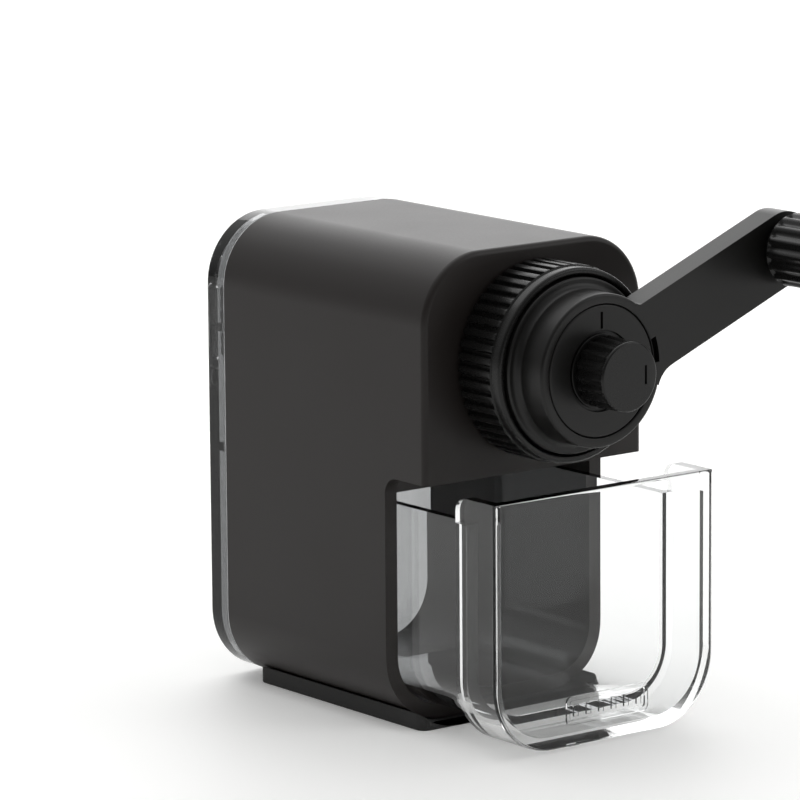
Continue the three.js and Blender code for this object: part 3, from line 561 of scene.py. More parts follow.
# ---------------------------------------------------------------- solids


class Solid:
    """A closed solid being shaped, in millimetres."""

    def __init__(self, shape: bmesh.types.BMesh) -> None:
        """Hold a shape.

        Args:
            shape: The mesh being shaped.
        """
        self.shape = shape

    @classmethod
    def prism(
        cls, corners: Sequence[Corner], axis: Axis, low: float, high: float, steps: int = 14
    ) -> "Solid":
        """Extrude an outline with rounded corners.

        Args:
            corners: The outline's corners, each with its rounding radius.
            axis: The axis that it runs along.
            low: Where it starts.
            high: Where it ends.
            steps: How many pieces make a rounded corner.

        Returns:
            The prism.
        """
        shape = bmesh.new()
        cls._outline(shape, [(axis.point(u, v, low), radius) for u, v, radius in corners], steps)
        grown = bmesh.ops.extrude_face_region(shape, geom=shape.faces[:])["geom"]
        moved = [part for part in grown if isinstance(part, bmesh.types.BMVert)]
        bmesh.ops.translate(shape, verts=moved, vec=axis.step(high - low))
        bmesh.ops.recalc_face_normals(shape, faces=shape.faces[:])
        return cls(shape)

    @staticmethod
    def _outline(shape: bmesh.types.BMesh, corners: Iterable[tuple[Vector, float]], steps: int) -> None:
        """Add one flat face with rounded corners.

        Args:
            shape: The mesh that gets it.
            corners: Each corner and its rounding radius.
            steps: How many pieces make a rounded corner.
        """
        places = list(corners)
        points = [shape.verts.new(place) for place, _ in places]
        shape.faces.new(points)
        for point, (_, radius) in zip(points, places):
            if radius > 0.0:
                bmesh.ops.bevel(
                    shape, geom=[point], offset=radius, offset_type="OFFSET", segments=steps,
                    profile=0.5, affect="VERTICES", material=-1, clamp_overlap=False,
                )

    @classmethod
    def turned(
        cls, corners: Sequence[Corner], centre: tuple[float, float], sides: int = 128, steps: int = 4
    ) -> "Solid":
        """Turn a closed profile about an axis along Y.

        Args:
            corners: The profile's corners, as radius, place along Y and rounding radius.
            centre: X and Z of the axis.
            sides: How many steps make the full turn.
            steps: How many pieces make a rounded corner.

        Returns:
            The turned solid.
        """
        shape = bmesh.new()
        middle = Vector((centre[0], 0.0, centre[1]))
        cls._outline(shape, [(middle + Vector((r, y, 0.0)), fillet) for r, y, fillet in corners], steps)
        bmesh.ops.delete(shape, geom=shape.faces[:], context="FACES_ONLY")
        on_axis = [e for e in shape.edges if all(abs(v.co.x - centre[0]) < 1e-6 for v in e.verts)]
        bmesh.ops.delete(shape, geom=on_axis, context="EDGES")
        bmesh.ops.spin(
            shape, geom=shape.verts[:] + shape.edges[:], cent=middle, axis=(0.0, 1.0, 0.0),
            angle=2.0 * math.pi, steps=sides, use_merge=True,
        )
        bmesh.ops.remove_doubles(shape, verts=shape.verts[:], dist=1e-4)
        bmesh.ops.recalc_face_normals(shape, faces=shape.faces[:])
        return cls(shape)

    @classmethod
    def block(cls, low: Corner, high: Corner) -> "Solid":
        """Make a box from its two corners."""
        (x0, y0, z0), (x1, y1, z1) = low, high
        return cls.prism([(x0, z0, 0.0), (x1, z0, 0.0), (x1, z1, 0.0), (x0, z1, 0.0)], Axis.Y, y0, y1)

    def ribbed(
        self, centre: tuple[float, float], count: int, depth: float, span: tuple[float, float],
        least: float, wave: Callable[[float], float],
    ) -> "Solid":
        """Press grooves into the outside of a turned solid.

        Args:
            centre: X and Z of the axis.
            count: How many grooves there are.
            depth: How deep they are.
            span: Where they start and end along Y.
            least: Only what is further out than this is pressed.
            wave: Depth share from 0 to 1 for a place from 0 to 1 within one pitch.

        Returns:
            The same solid.
        """
        for point in self.shape.verts:
            across, rise = point.co.x - centre[0], point.co.z - centre[1]
            radius = math.hypot(across, rise)
            if radius < least or not span[0] < point.co.y < span[1]:
                continue
            share = (math.atan2(rise, across) / (2.0 * math.pi) * count) % 1.0
            factor = (radius - depth * wave(share)) / radius
            point.co.x = centre[0] + across * factor
            point.co.z = centre[1] + rise * factor
        return self

    def softened(
        self, chosen: Callable[[bmesh.types.BMEdge], bool], width: float, steps: int = 4
    ) -> "Solid":
        """Round some edges.

        Args:
            chosen: Says which edges are rounded.
            width: How far the rounding reaches.
            steps: How many pieces make it.

        Returns:
            The same solid.
        """
        edges = [edge for edge in self.shape.edges if chosen(edge)]
        bmesh.ops.bevel(
            self.shape, geom=edges, offset=width, offset_type="OFFSET", segments=steps,
            profile=0.5, affect="EDGES", material=-1, clamp_overlap=True,
        )
        return self

    def rotated(self, degrees: float, centre: tuple[float, float]) -> "Solid":
        """Turn the solid about an axis along Y, anticlockwise seen from the crank side.

        Args:
            degrees: How far.
            centre: X and Z of the axis.

        Returns:
            The same solid.
        """
        middle = Vector((centre[0], 0.0, centre[1]))
        turn = Matrix.Rotation(math.radians(-degrees), 3, "Y")
        bmesh.ops.rotate(self.shape, verts=self.shape.verts[:], cent=middle, matrix=turn)
        return self

    def mirrored(self) -> "Solid":
        """Swap left and right and return the solid."""
        bmesh.ops.scale(self.shape, verts=self.shape.verts[:], vec=(-1.0, 1.0, 1.0))
        bmesh.ops.recalc_face_normals(self.shape, faces=self.shape.faces[:])
        return self

    def joined(self, *others: "Solid") -> "Solid":
        """Join other solids to this one and return it."""
        return self._combined("UNION", others)

    def cut(self, *others: "Solid") -> "Solid":
        """Cut other solids out of this one and return it."""
        return self._combined("DIFFERENCE", others)

    def kept_within(self, *others: "Solid") -> "Solid":
        """Keep only what lies inside the others and return it."""
        return self._combined("INTERSECT", others)

    def _combined(self, operation: str, others: Iterable["Solid"]) -> "Solid":
        """Combine with other solids.

        Args:
            operation: UNION, DIFFERENCE or INTERSECT.
            others: The other solids, which are used up.

        Returns:
            This solid, combined.
        """
        target = self._plain_object("target")
        tools = [other._plain_object("tool") for other in others]
        for tool in tools:
            step = target.modifiers.new("step", "BOOLEAN")
            step.operation = operation
            step.solver = "EXACT"
            step.object = tool
        bpy.context.view_layer.update()
        graph = bpy.context.evaluated_depsgraph_get()
        result = bpy.data.meshes.new_from_object(target.evaluated_get(graph))
        self.shape = bmesh.new()
        self.shape.from_mesh(result)
        bpy.data.meshes.remove(result)
        for item in (target, *tools):
            mesh = item.data
            bpy.data.objects.remove(item)
            bpy.data.meshes.remove(mesh)
        bmesh.ops.remove_doubles(self.shape, verts=self.shape.verts[:], dist=1e-4)
        bmesh.ops.dissolve_degenerate(self.shape, dist=1e-4, edges=self.shape.edges[:])
        return self

    def _plain_object(self, name: str) -> bpy.types.Object:
        """Return the solid as a plain object and let go of the shape."""
        mesh = bpy.data.meshes.new(name)
        self.shape.to_mesh(mesh)
        self.shape.free()
        item = bpy.data.objects.new(name, mesh)
        bpy.context.scene.collection.objects.link(item)
        return item

    def piece(
        self, name: str, body: Body, dressing: "Dressing", stands_for: Sequence[str],
        edge: float = 0.0, edge_steps: int = 2, crease: float = 35.0,
    ) -> bpy.types.Object:
        """Finish the solid as a piece of the model.

        Args:
            name: The piece's name.
            body: The body that it rides on.
            dressing: Its finish.
            stands_for: The CAD nodes that it replaces.
            edge: Width of the rounding on every sharp edge, in millimetres.
            edge_steps: How many pieces make that rounding.
            crease: Angle over which an edge counts as sharp.

        Returns:
            The finished object.
        """
        bmesh.ops.scale(self.shape, verts=self.shape.verts[:], vec=(MM, MM, MM))
        mesh = bpy.data.meshes.new(name)
        self.shape.to_mesh(mesh)
        self.shape.free()
        mesh.polygons.foreach_set("use_smooth", [True] * len(mesh.polygons))
        mesh.materials.append(dressing.material)
        item = bpy.data.objects.new(name, mesh)
        bpy.context.scene.collection.objects.link(item)
        if edge > 0.0:
            rounding = item.modifiers.new("edges", "BEVEL")
            rounding.width = edge * MM
            rounding.segments = edge_steps
            rounding.limit_method = "ANGLE"
            rounding.angle_limit = math.radians(crease)
            rounding.use_clamp_overlap = True
            rounding.miter_outer = "MITER_ARC"
        else:
            mesh.set_sharp_from_angle(angle=math.radians(crease))
        flatten = item.modifiers.new("shading", "WEIGHTED_NORMAL")
        flatten.keep_sharp = True
        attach(item, body.value)
        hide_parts(*stands_for)
        log.info("%s rides on %s and stands for %s", name, body.value, ", ".join(stands_for))
        return item


@dataclass
class Dressing:
    """A built material and the record's slot that it belongs to."""

    material: bpy.types.Material
    slot: str

    @classmethod
    def of(cls, finish: MouldedPlastic | ClearPlastic | WorkedMetal) -> "Dressing":
        """Build a finish."""
        return cls(finish.build(), finish.slot)


@dataclass
class Finishes:
    """Every finish of the sharpener."""

    shell: Dressing = field(default_factory=lambda: Dressing.of(MouldedPlastic(
        "shell_black", "shell", (0.0155, 0.0125, 0.0115), 0.42, 0.30, 0.006, specular=0.30)))
    crank: Dressing = field(default_factory=lambda: Dressing.of(MouldedPlastic(
        "crank_black", "crank", (0.0068, 0.0065, 0.0062), 0.36, 0.22, 0.005, specular=0.30)))
    trim: Dressing = field(default_factory=lambda: Dressing.of(MouldedPlastic(
        "trim_black", "trim", (0.0065, 0.0064, 0.0062), 0.28, 0.16, 0.003, specular=0.30)))
    foot: Dressing = field(default_factory=lambda: Dressing.of(MouldedPlastic(
        "foot_rubber", "foot", (0.027, 0.0267, 0.0263), 0.72, 0.45, 0.02, 0.25, 0.35)))
    inner: Dressing = field(default_factory=lambda: Dressing.of(MouldedPlastic(
        "inner_grey", "inner", (0.030, 0.031, 0.033), 0.5, 0.3, 0.008, specular=0.35)))
    nylon: Dressing = field(default_factory=lambda: Dressing.of(MouldedPlastic(
        "gear_nylon", "nylon", (0.62, 0.59, 0.52), 0.48, 0.35, 0.006, 0.05)))
    clear: Dressing = field(default_factory=lambda: Dressing.of(ClearPlastic("clear_plastic", "clear")))
    smoked: Dressing = field(default_factory=lambda: Dressing.of(ClearPlastic(
        "smoked_plastic", "clear", (0.34, 0.345, 0.35), 0.5)))
    steel: Dressing = field(default_factory=lambda: Dressing.of(WorkedMetal(
        "plated_steel", "steel", (0.62, 0.63, 0.65))))
    tool_steel: Dressing = field(default_factory=lambda: Dressing.of(WorkedMetal(
        "tool_steel", "tool_steel", (0.42, 0.43, 0.45), 0.32, 0.2)))


def node_box(node: str) -> tuple[Vector, Vector]:
    """Return a CAD node's lowest and highest corners in millimetres."""
    low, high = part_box(node)
    return Vector(low) / MM, Vector(high) / MM


def edges_at(depth: float) -> Callable[[Any], bool]:
    """Return the rule that picks the edges lying at one place along Y.

    Args:
        depth: The place, in millimetres.

    Returns:
        A test of one edge.
    """
    return lambda edge: all(abs(vert.co.y - depth) < EDGE_REACH for vert in edge.verts)


def rounded_rectangle(x0: float, x1: float, z0: float, z1: float, radius: float) -> list[Corner]:
    """Return the corners of a rounded rectangle."""
    return [(x0, z0, radius), (x1, z0, radius), (x1, z1, radius), (x0, z1, radius)]


# ---------------------------------------------------------------- shell


@dataclass
class Shell:
    """The black shell and its foot."""

    finishes: Finishes
    corner: float = 12.0
    wall: float = 2.5
    front_plate: float = 2.5
    rim: float = 1.0
    recess: float = 10.8
    recess_corner: float = 3.0
    shoulder: float = 43.75
    lintel_drop: float = 3.0
    lintel_wall: float = 2.2
    bore: float = 14.3
    boss: float = 2.7
    boss_length: float = 7.5
    boss_setback: float = 0.6
    pilot: float = 1.0
    pilot_depth: float = 6.5
    foot_corner: float = 2.0
    foot_gap: float = 0.3

    def build(self, axis_height: float) -> None:
        """Build the shell and the foot.

        Args:
            axis_height: Height of the main axis.
        """
        self._shell(axis_height)
        self._foot()

    def _section(self, inset: float) -> list[Corner]:
        """Return the shell's outline, shrunk all round."""
        low, high = node_box("body_shell")
        return rounded_rectangle(
            low.x + inset, high.x - inset, low.z + inset, high.z - inset, self.corner - inset
        )

    def _shell(self, axis_height: float) -> None:
        """Build the shell."""
        low, high = node_box("body_shell")
        step = low.y + self.recess
        outer = Solid.prism(self._section(0.0), Axis.Y, low.y, high.y, 20)
        outer.softened(edges_at(low.y), self.rim, 5)
        recess = Solid.prism(
            [
                (low.y - 5.0, low.z - 5.0, 0.0),
                (step, low.z - 5.0, 0.0),
                (step, self.shoulder, self.recess_corner),
                (low.y - 5.0, self.shoulder, 0.0),
            ],
            Axis.X, low.x - 5.0, high.x + 5.0,
        )
        cavity = Solid.prism(self._section(self.wall), Axis.Y, step - 2.0, high.y + 5.0, 20)
        cavity.cut(Solid.block((low.x, step - 5.0, self.shoulder), (high.x, step, high.z)))
        inner = self.corner - self.wall
        chamber = Solid.prism(
            [
                (low.x + self.wall, self.shoulder + self.wall, 0.0),
                (high.x - self.wall, self.shoulder + self.wall, 0.0),
                (high.x - self.wall, high.z - self.wall, inner),
                (low.x + self.wall, high.z - self.wall, inner),
            ],
            Axis.Y, low.y + self.front_plate, step + 1.0, 20,
        )
        bore = Solid.turned(
            [
                (0.0, low.y - 2.0, 0.0), (self.bore, low.y - 2.0, 0.0),
                (self.bore, step, 0.0), (0.0, step, 0.0),
            ],
            (0.0, axis_height),
        )
        outer.cut(recess, cavity, chamber, bore)
        lintel = Solid.block(
            (low.x + self.wall - 0.5, step, self.shoulder - self.lintel_drop),
            (high.x - self.wall + 0.5, step + self.lintel_wall, self.shoulder + self.wall),
        )
        outer.joined(lintel, *self._bosses())
        outer.piece("shell", Body.HOUSING, self.finishes.shell, ["body_shell"], 0.45, 3)

    def _bosses(self) -> list[Solid]:
        """Return the screw bosses on the side walls."""
        _, high = node_box("body_shell")
        bosses = []
        for side in Side:
            for screw_node in ("frame_screw", "guide_screw"):
                screw_low, screw_high = node_box(f"{screw_node}_{side.word}")
                middle = (screw_low + screw_high) / 2.0
                rear = screw_low.y + self.boss_length - self.boss_setback
                edge = high.x - self.wall / 2.0
                inner = abs(middle.x) - self.boss
                across = sorted((side.value * inner, side.value * edge))
                boss = Solid.block(
                    (across[0], rear - self.boss_length, middle.z - self.boss),
                    (across[1], rear, middle.z + self.boss),
                )
                pilot = Solid.turned(
                    [
                        (0.0, rear - self.pilot_depth, 0.0), (self.pilot, rear - self.pilot_depth, 0.0),
                        (self.pilot, rear + 1.0, 0.0), (0.0, rear + 1.0, 0.0),
                    ],
                    (middle.x, middle.z), 24,
                )
                bosses.append(boss.cut(pilot))
        return bosses

    def _foot(self) -> None:
        """Build the foot."""
        low, high = node_box("base_foot")
        corners = ((low.x, low.y), (high.x, low.y), (high.x, high.y), (low.x, high.y))
        plan = [(x, y, self.foot_corner) for x, y in corners]
        foot = Solid.prism(plan, Axis.Z, low.z, high.z + 0.5, 6)
        foot.cut(Solid.prism(self._section(-self.foot_gap), Axis.Y, low.y - 5.0, high.y + 5.0, 20))
        foot.piece("foot", Body.HOUSING, self.finishes.foot, ["base_foot"], 0.25, 2)


# ---------------------------------------------------------------- drawer


@dataclass
class Drawer:
    """The clear shavings drawer, drawn out as it stands at rest."""

    finishes: Finishes
    corner: float = 12.0
    front_wall: float = 2.1
    bezel_wall: float = 2.0
    bezel_length: float = 10.5
    bezel_web: float = 1.6
    box_wall: float = 1.6
    box_half: float = 20.7
    box_base: float = 3.4
    box_top: float = 38.7
    ear: float = 2.5
    pad_half: float = 8.8
    pad_low: float = 4.4
    pad_height: float = 4.8
    pad_proud: float = 0.4
    pad_ribs: int = 6

    def build(self) -> None:
        """Build the drawer."""
        low, high = node_box("drawer")
        front = low.y + self.pad_proud
        rear = high.y
        bezel_rear = front + self.bezel_length
        web = bezel_rear - self.bezel_web
        half = high.x
        bezel = Solid.prism(self._trough(half, low.z, high.z), Axis.Y, front, bezel_rear, 20)
        bezel.softened(edges_at(front), 0.5, 3)
        bezel_room = Solid.prism(
            self._trough(half - self.bezel_wall, low.z + self.bezel_wall, high.z + 2.0, self.bezel_wall),
            Axis.Y, front + self.front_wall, web, 20,
        )
        box = Solid.prism(
            self._trough(self.box_half, self.box_base, self.box_top, half - self.box_half),
            Axis.Y, web + 0.2, rear, 20,
        )
        inset = half - self.box_half + self.box_wall
        box_room = Solid.prism(
            self._trough(half - inset, self.box_base + self.box_wall, high.z + 2.0, inset),
            Axis.Y, web - 1.0, rear - self.box_wall, 20,
        )
        web_top = Solid.block(
            (-half + self.bezel_wall, web - 1.0, self.box_top), (half - self.bezel_wall, rear, high.z + 2.0)
        )
        ears = self._ear_cut(bezel_rear, high.z, half)
        bezel.cut(bezel_room).joined(box).cut(box_room, web_top, ears).joined(*self._pad(front))
        bezel.piece("clear_drawer", Body.DRAWER, self.finishes.clear, ["drawer"], 0.3, 3)

    def _trough(self, half: float, base: float, top: float, inset: float = 0.0) -> list[Corner]:
        """Return an outline that is square at the top and rounded at the bottom."""
        radius = self.corner - inset
        return [(-half, base, radius), (half, base, radius), (half, top, 0.0), (-half, top, 0.0)]

    def _ear_cut(self, rear: float, top: float, half: float) -> Solid:
        """Return the cut that rounds the bezel's rear top corners."""
        keep = Solid.prism(
            [
                (rear - 8.0, top - 8.0, 0.0), (rear, top - 8.0, 0.0),
                (rear, top, self.ear), (rear - 8.0, top, 0.0),
            ],
            Axis.X, -half - 2.0, half + 2.0, 8,
        )
        spare = Solid.block(
            (-half - 1.0, rear - self.ear, top - self.ear), (half + 1.0, rear + 1.0, top + 1.0)
        )
        return spare.cut(keep)

    def _pad(self, front: float) -> list[Solid]:
        """Return the low ribbed pad on the drawer's front."""
        low, high = self.pad_low, self.pad_low + self.pad_height
        rim = Solid.prism(
            rounded_rectangle(-self.pad_half, self.pad_half, low, high, 1.0),
            Axis.Y, front - self.pad_proud, front + 0.5, 6,
        )
        rim.cut(Solid.prism(
            rounded_rectangle(-self.pad_half + 0.7, self.pad_half - 0.7, low + 0.7, high - 0.7, 0.5),
            Axis.Y, front - 2.0, front - 0.05, 4,
        ))
        pitch = (2.0 * (self.pad_half - 2.0)) / (self.pad_ribs - 1)
        ribs = [
            Solid.block((x - 0.5, front - self.pad_proud, low + 1.4), (x + 0.5, front + 0.5, high - 1.4))
            for x in (-self.pad_half + 2.0 + pitch * i for i in range(self.pad_ribs))
        ]
        gate = Solid.block((-7.2, front + 1.0, self.pad_low - 4.05), (-5.0, front + 3.4, self.pad_low - 3.3))
        return [rim, *ribs, gate]


# ---------------------------------------------------------------- crank head


@dataclass
class CrankHead:
    """The grooved lock ring, the crank, its cap, the adjuster knob and the handle."""

    finishes: Finishes
    axis_height: float
    arm_angle: float = 22.0
    ring_rim: float = 1.9
    ring_grooves: int = 48
    groove_depth: float = 0.7
    ring_bore: float = 15.2
    collar_bore: float = 14.4
    hub_flange: float = 14.85
    hub: float = 12.9
    flange_front: float = -41.8
    flange_rear: float = -35.2
    cove: float = 1.2
    pocket: float = 11.2
    pocket_floor: float = -38.4
    shaft_bore: float = 3.1
    spigot: float = 6.5
    spigot_rear: float = -30.2
    arm_length: float = 43.5
    arm_half: float = 6.3
    arm_thickness: float = 5.0
    arm_fillet: float = 5.0
    arm_upper_fillet: float = 1.2
    rim_step: float = 0.3
    knob_taper: float = 0.25
    cap_face_drop: float = 0.05
    cap_groove: tuple[float, float] = (6.3, 6.75)
    cap_groove_floor: float = 0.6
    cap_thickness: float = 1.5
    cap_line_half: float = 0.26
    cap_line: tuple[float, float] = (7.1, 9.9)
    latch_slot: tuple[float, float] = (0.15, 1.25)
    latch_depth: float = 2.6
    arm_room: float = 0.6
    pin_bore: float = 1.7
    knob_ribs: int = 18
    grip_ribs: int = 16

    @property
    def centre(self) -> tuple[float, float]:
        """X and Z of the main axis."""
        return (0.0, self.axis_height)

    @property
    def handle_centre(self) -> tuple[float, float]:
        """X and Z of the handle's axis."""
        turn = math.radians(self.arm_angle)
        return (self.arm_length * math.cos(turn), self.axis_height + self.arm_length * math.sin(turn))

    def build(self) -> None:
        """Build every piece of the head."""
        self._lock_ring()
        self._crank()
        self._cap()
        self._knob()
        self._grip()
        self._grip_cap()

    @staticmethod
    def _slots(share: float) -> float:
        """Return the lock ring's groove wave: narrow rounded slots between flat ribs."""
        offset = abs(share - 0.5) * 2.0
        return max(0.0, min(1.0, (0.52 - offset) / 0.22))

    @staticmethod
    def _flutes(share: float) -> float:
        """Return a soft wave between round ribs."""
        return 0.5 - 0.5 * math.cos(2.0 * math.pi * share)

    def _lock_ring(self) -> None:
        """Build the lock ring."""
        low, high = node_box("lock_ring")
        radius = (high.x - low.x) / 2.0
        front, rear = low.y, high.y
        start = front + self.ring_rim
        ring = Solid.turned(
            [
                (self.ring_bore, front, 0.35), (radius - self.rim_step, front, 0.5),
                (radius - self.rim_step, start, 0.0), (radius, start + 0.25, 0.1),
                (radius, start + 0.8, 0.0), (radius, rear - 0.7, 0.0),
                (radius, rear - 0.35, 0.0), (radius, rear, 0.2), (self.collar_bore, rear, 0.2),
                (self.collar_bore, rear - 3.4, 0.0), (self.ring_bore, rear - 3.4, 0.0),
            ],
            self.centre, self.ring_grooves * 12,
        )
        ring.ribbed(
            self.centre, self.ring_grooves, self.groove_depth, (start + 0.2, rear + 1.0),
            radius - 1.0, self._slots,
        )
        ring.piece("grooved_lock_ring", Body.LOCK_RING, self.finishes.trim, ["lock_ring"], crease=50.0)

    def _crank(self) -> None:
        """Build the crank: the stepped hub and its arm."""
        low, _ = node_box("hub_cap")
        face = low.y
        turns = [math.pi / 2.0 * i / 6.0 for i in range(7)]
        cove = [
            (
                self.hub + self.cove * (1.0 - math.cos(turn)),
                self.flange_front - self.cove * (1.0 - math.sin(turn)),
                0.0,
            )
            for turn in turns
        ]
        hub = Solid.turned(
            [
                (self.pocket, face, 0.25), (self.hub, face, 0.5), *cove,
                (self.hub_flange, self.flange_front, 0.4), (self.hub_flange, self.flange_rear, 0.3),
                (self.spigot, self.flange_rear, 0.0), (self.spigot, self.spigot_rear, 0.3),
                (self.shaft_bore, self.spigot_rear, 0.2), (self.shaft_bore, self.pocket_floor, 0.2),
                (self.pocket, self.pocket_floor, 0.2),
            ],
            self.centre, 160,
        )
        arm = self._arm(face)
        arm_rear = face + self.arm_thickness
        edge = self.pocket + self.arm_room
        room = Solid.turned(
            [
                (0.0, face - 2.0, 0.0), (edge, face - 2.0, 0.0),
                (edge, arm_rear + 1.0, 0.0), (0.0, arm_rear + 1.0, 0.0),
            ],
            self.centre, 160,
        )
        arm.cut(room)
        pin = Solid.turned(
            [
                (0.0, face - 2.0, 0.0), (self.pin_bore, face - 2.0, 0.0),
                (self.pin_bore, arm_rear + 2.0, 0.0), (0.0, arm_rear + 2.0, 0.0),
            ],
            (self.arm_length, self.axis_height), 32,
        )
        arm.cut(pin).rotated(self.arm_angle, self.centre)
        hub.joined(arm).cut(self._latch_slot(face))
        hub.piece("crank", Body.CRANK, self.finishes.crank, ["crank_arm"], 0.3, 2, 40.0)

    def _arm(self, face: float) -> Solid:
        """Return the arm along +X, with a fillet on each side where it leaves the hub.

        Args:
            face: Place of the arm's front face.

        Returns:
            The arm.
        """
        z = self.axis_height
        tip = self.arm_length + self.arm_half
        lower = self._arm_fillet(self.arm_fillet)
        upper = self._arm_fillet(self.arm_upper_fillet)
        outline: list[Corner] = [
            (0.0, z, 0.0),
            *((along, z - across, 0.0) for along, across in lower),
            (tip, z - self.arm_half, self.arm_half),
            (tip, z + self.arm_half, self.arm_half),
            *((along, z + across, 0.0) for along, across in reversed(upper)),
        ]
        return Solid.prism(outline, Axis.Y, face, face + self.arm_thickness, 16)

    def _arm_fillet(self, radius: float, steps: int = 8) -> list[tuple[float, float]]:
        """Return the fillet between the round hub and one side of the arm.

        Args:
            radius: The fillet's radius.
            steps: How many pieces make it.

        Returns:
            Points along the arm and across it, starting at the hub.
        """
        offset = self.arm_half + radius
        along = math.sqrt((self.hub + radius) ** 2 - offset**2)
        meet = math.atan2(offset, along)
        turns = (meet + (math.pi / 2.0 - meet) * i / steps for i in range(steps + 1))
        return [(along - radius * math.cos(turn), offset - radius * math.sin(turn)) for turn in turns]

    def _latch_slot(self, face: float) -> Solid:
        """Return the cut for the short curved slot between the cap and the arm.

        Args:
            face: Place of the hub's front face.

        Returns:
            The cut.
        """
        inner, outer = (self.pocket + gap for gap in self.latch_slot)
        floor = face + self.latch_depth
        ring = Solid.turned(
            [(inner, face - 1.0, 0.0), (outer, face - 1.0, 0.0), (outer, floor, 0.0), (inner, floor, 0.0)],
            self.centre, 240,
        )
        z = self.axis_height
        wedge = Solid.prism(
            [(0.0, z, 0.0), (20.0, z + 0.2, 0.0), (20.0, z + 7.8, 0.0)], Axis.Y, face - 2.0, face + 3.0
        )
        return ring.kept_within(wedge)

    def _cap(self) -> None:
        """Build the cap in the hub, with its index line."""
        low, high = node_box("hub_cap")
        radius = (high.x - low.x) / 2.0
        face, floor = low.y + self.cap_face_drop, low.y + self.cap_groove_floor
        back = low.y + self.cap_thickness
        groove_in, groove_out = self.cap_groove
        collar = self.shaft_bore + 1.5
        cap = Solid.turned(
            [
                (self.shaft_bore, face, 0.2), (groove_in, face, 0.1), (groove_in, floor, 0.0),
                (groove_out, floor, 0.0), (groove_out, face, 0.1),
                (radius, face, 0.35), (radius, back, 0.0),
                (collar, back, 0.0), (collar, high.y, 0.0),
                (self.shaft_bore, high.y, 0.0),
            ],
            self.centre, 128,
        )
        z = self.axis_height
        line_low, line_high = self.cap_line
        cap.cut(Solid.block(
            (-self.cap_line_half, low.y - 1.0, z + line_low), (self.cap_line_half, low.y + 0.5, z + line_high)
        ))
        cap.piece("hub_cap_disc", Body.CRANK, self.finishes.crank, ["hub_cap"], 0.0, crease=30.0)

    def _knob(self) -> None:
        """Build the adjuster knob."""
        low, high = node_box("adjuster_knob")
        radius = (high.x - low.x) / 2.0
        front, rear = low.y, high.y
        back = front + 6.8
        shaft = self.shaft_bore - 0.1
        knob = Solid.turned(
            [
                (0.0, front, 0.0), (radius - self.knob_taper, front, 0.35),
                (radius - self.knob_taper, front + 0.9, 0.0), (radius - self.knob_taper, front + 1.2, 0.0),
                (radius, back - 0.5, 0.0), (radius, back, 0.3), (shaft, back, 0.0), (shaft, rear, 0.2),
                (1.6, rear, 0.0), (1.6, front + 1.2, 0.0), (0.0, front + 1.2, 0.0),
            ],
            self.centre, self.knob_ribs * 10,
        )
        knob.ribbed(
            self.centre, self.knob_ribs, 0.5, (front + 0.35, back + 0.1), radius - 0.6, self._flutes
        )
        z = self.axis_height
        knob.cut(Solid.block((3.2, front - 1.0, z - 1.6), (3.65, front + 0.4, z + 1.6)))
        knob.piece("ribbed_adjuster", Body.ADJUSTER, self.finishes.trim, ["adjuster_knob"], 0.0, crease=40.0)

    def _grip(self) -> None:
        """Build the ribbed handle."""
        low, high = node_box("handle_grip")
        radius = (high.x - low.x) / 2.0
        front, rear = low.y, high.y
        bore, head = 1.7, 3.3
        grip = Solid.turned(
            [
                (head, front, 0.0), (radius - 0.3, front, 0.3), (radius, front + 0.6, 0.0),
                (radius, front + 1.0, 0.0), (radius, rear - 2.4, 0.0), (radius, rear - 2.0, 0.0),
                (radius - 0.3, rear - 1.5, 0.3), (radius - 1.3, rear - 1.2, 0.3), (radius - 1.3, rear, 0.3),
                (bore, rear, 0.0), (bore, front + 2.4, 0.0), (head, front + 2.4, 0.0),
            ],
            self.handle_centre, self.grip_ribs * 10,
        )
        grip.ribbed(
            self.handle_centre, self.grip_ribs, 0.55, (front + 0.8, rear - 2.2), radius - 0.6, self._flutes
        )
        grip.piece("ribbed_handle", Body.HANDLE, self.finishes.trim, ["handle_grip"], 0.0, crease=40.0)

    def _grip_cap(self) -> None:
        """Build the handle's end cap."""
        low, high = node_box("grip_cap")
        radius = (high.x - low.x) / 2.0
        cap = Solid.turned(
            [
                (0.0, low.y, 0.0), (radius - 1.6, low.y, 0.6), (radius - 0.2, low.y + 0.5, 0.5),
                (radius, high.y, 0.1), (0.0, high.y, 0.0),
            ],
            self.handle_centre, 96,
        )
        cap.piece("handle_cap", Body.HANDLE, self.finishes.trim, ["grip_cap"], 0.0, crease=40.0)


# ---------------------------------------------------------------- faceplate


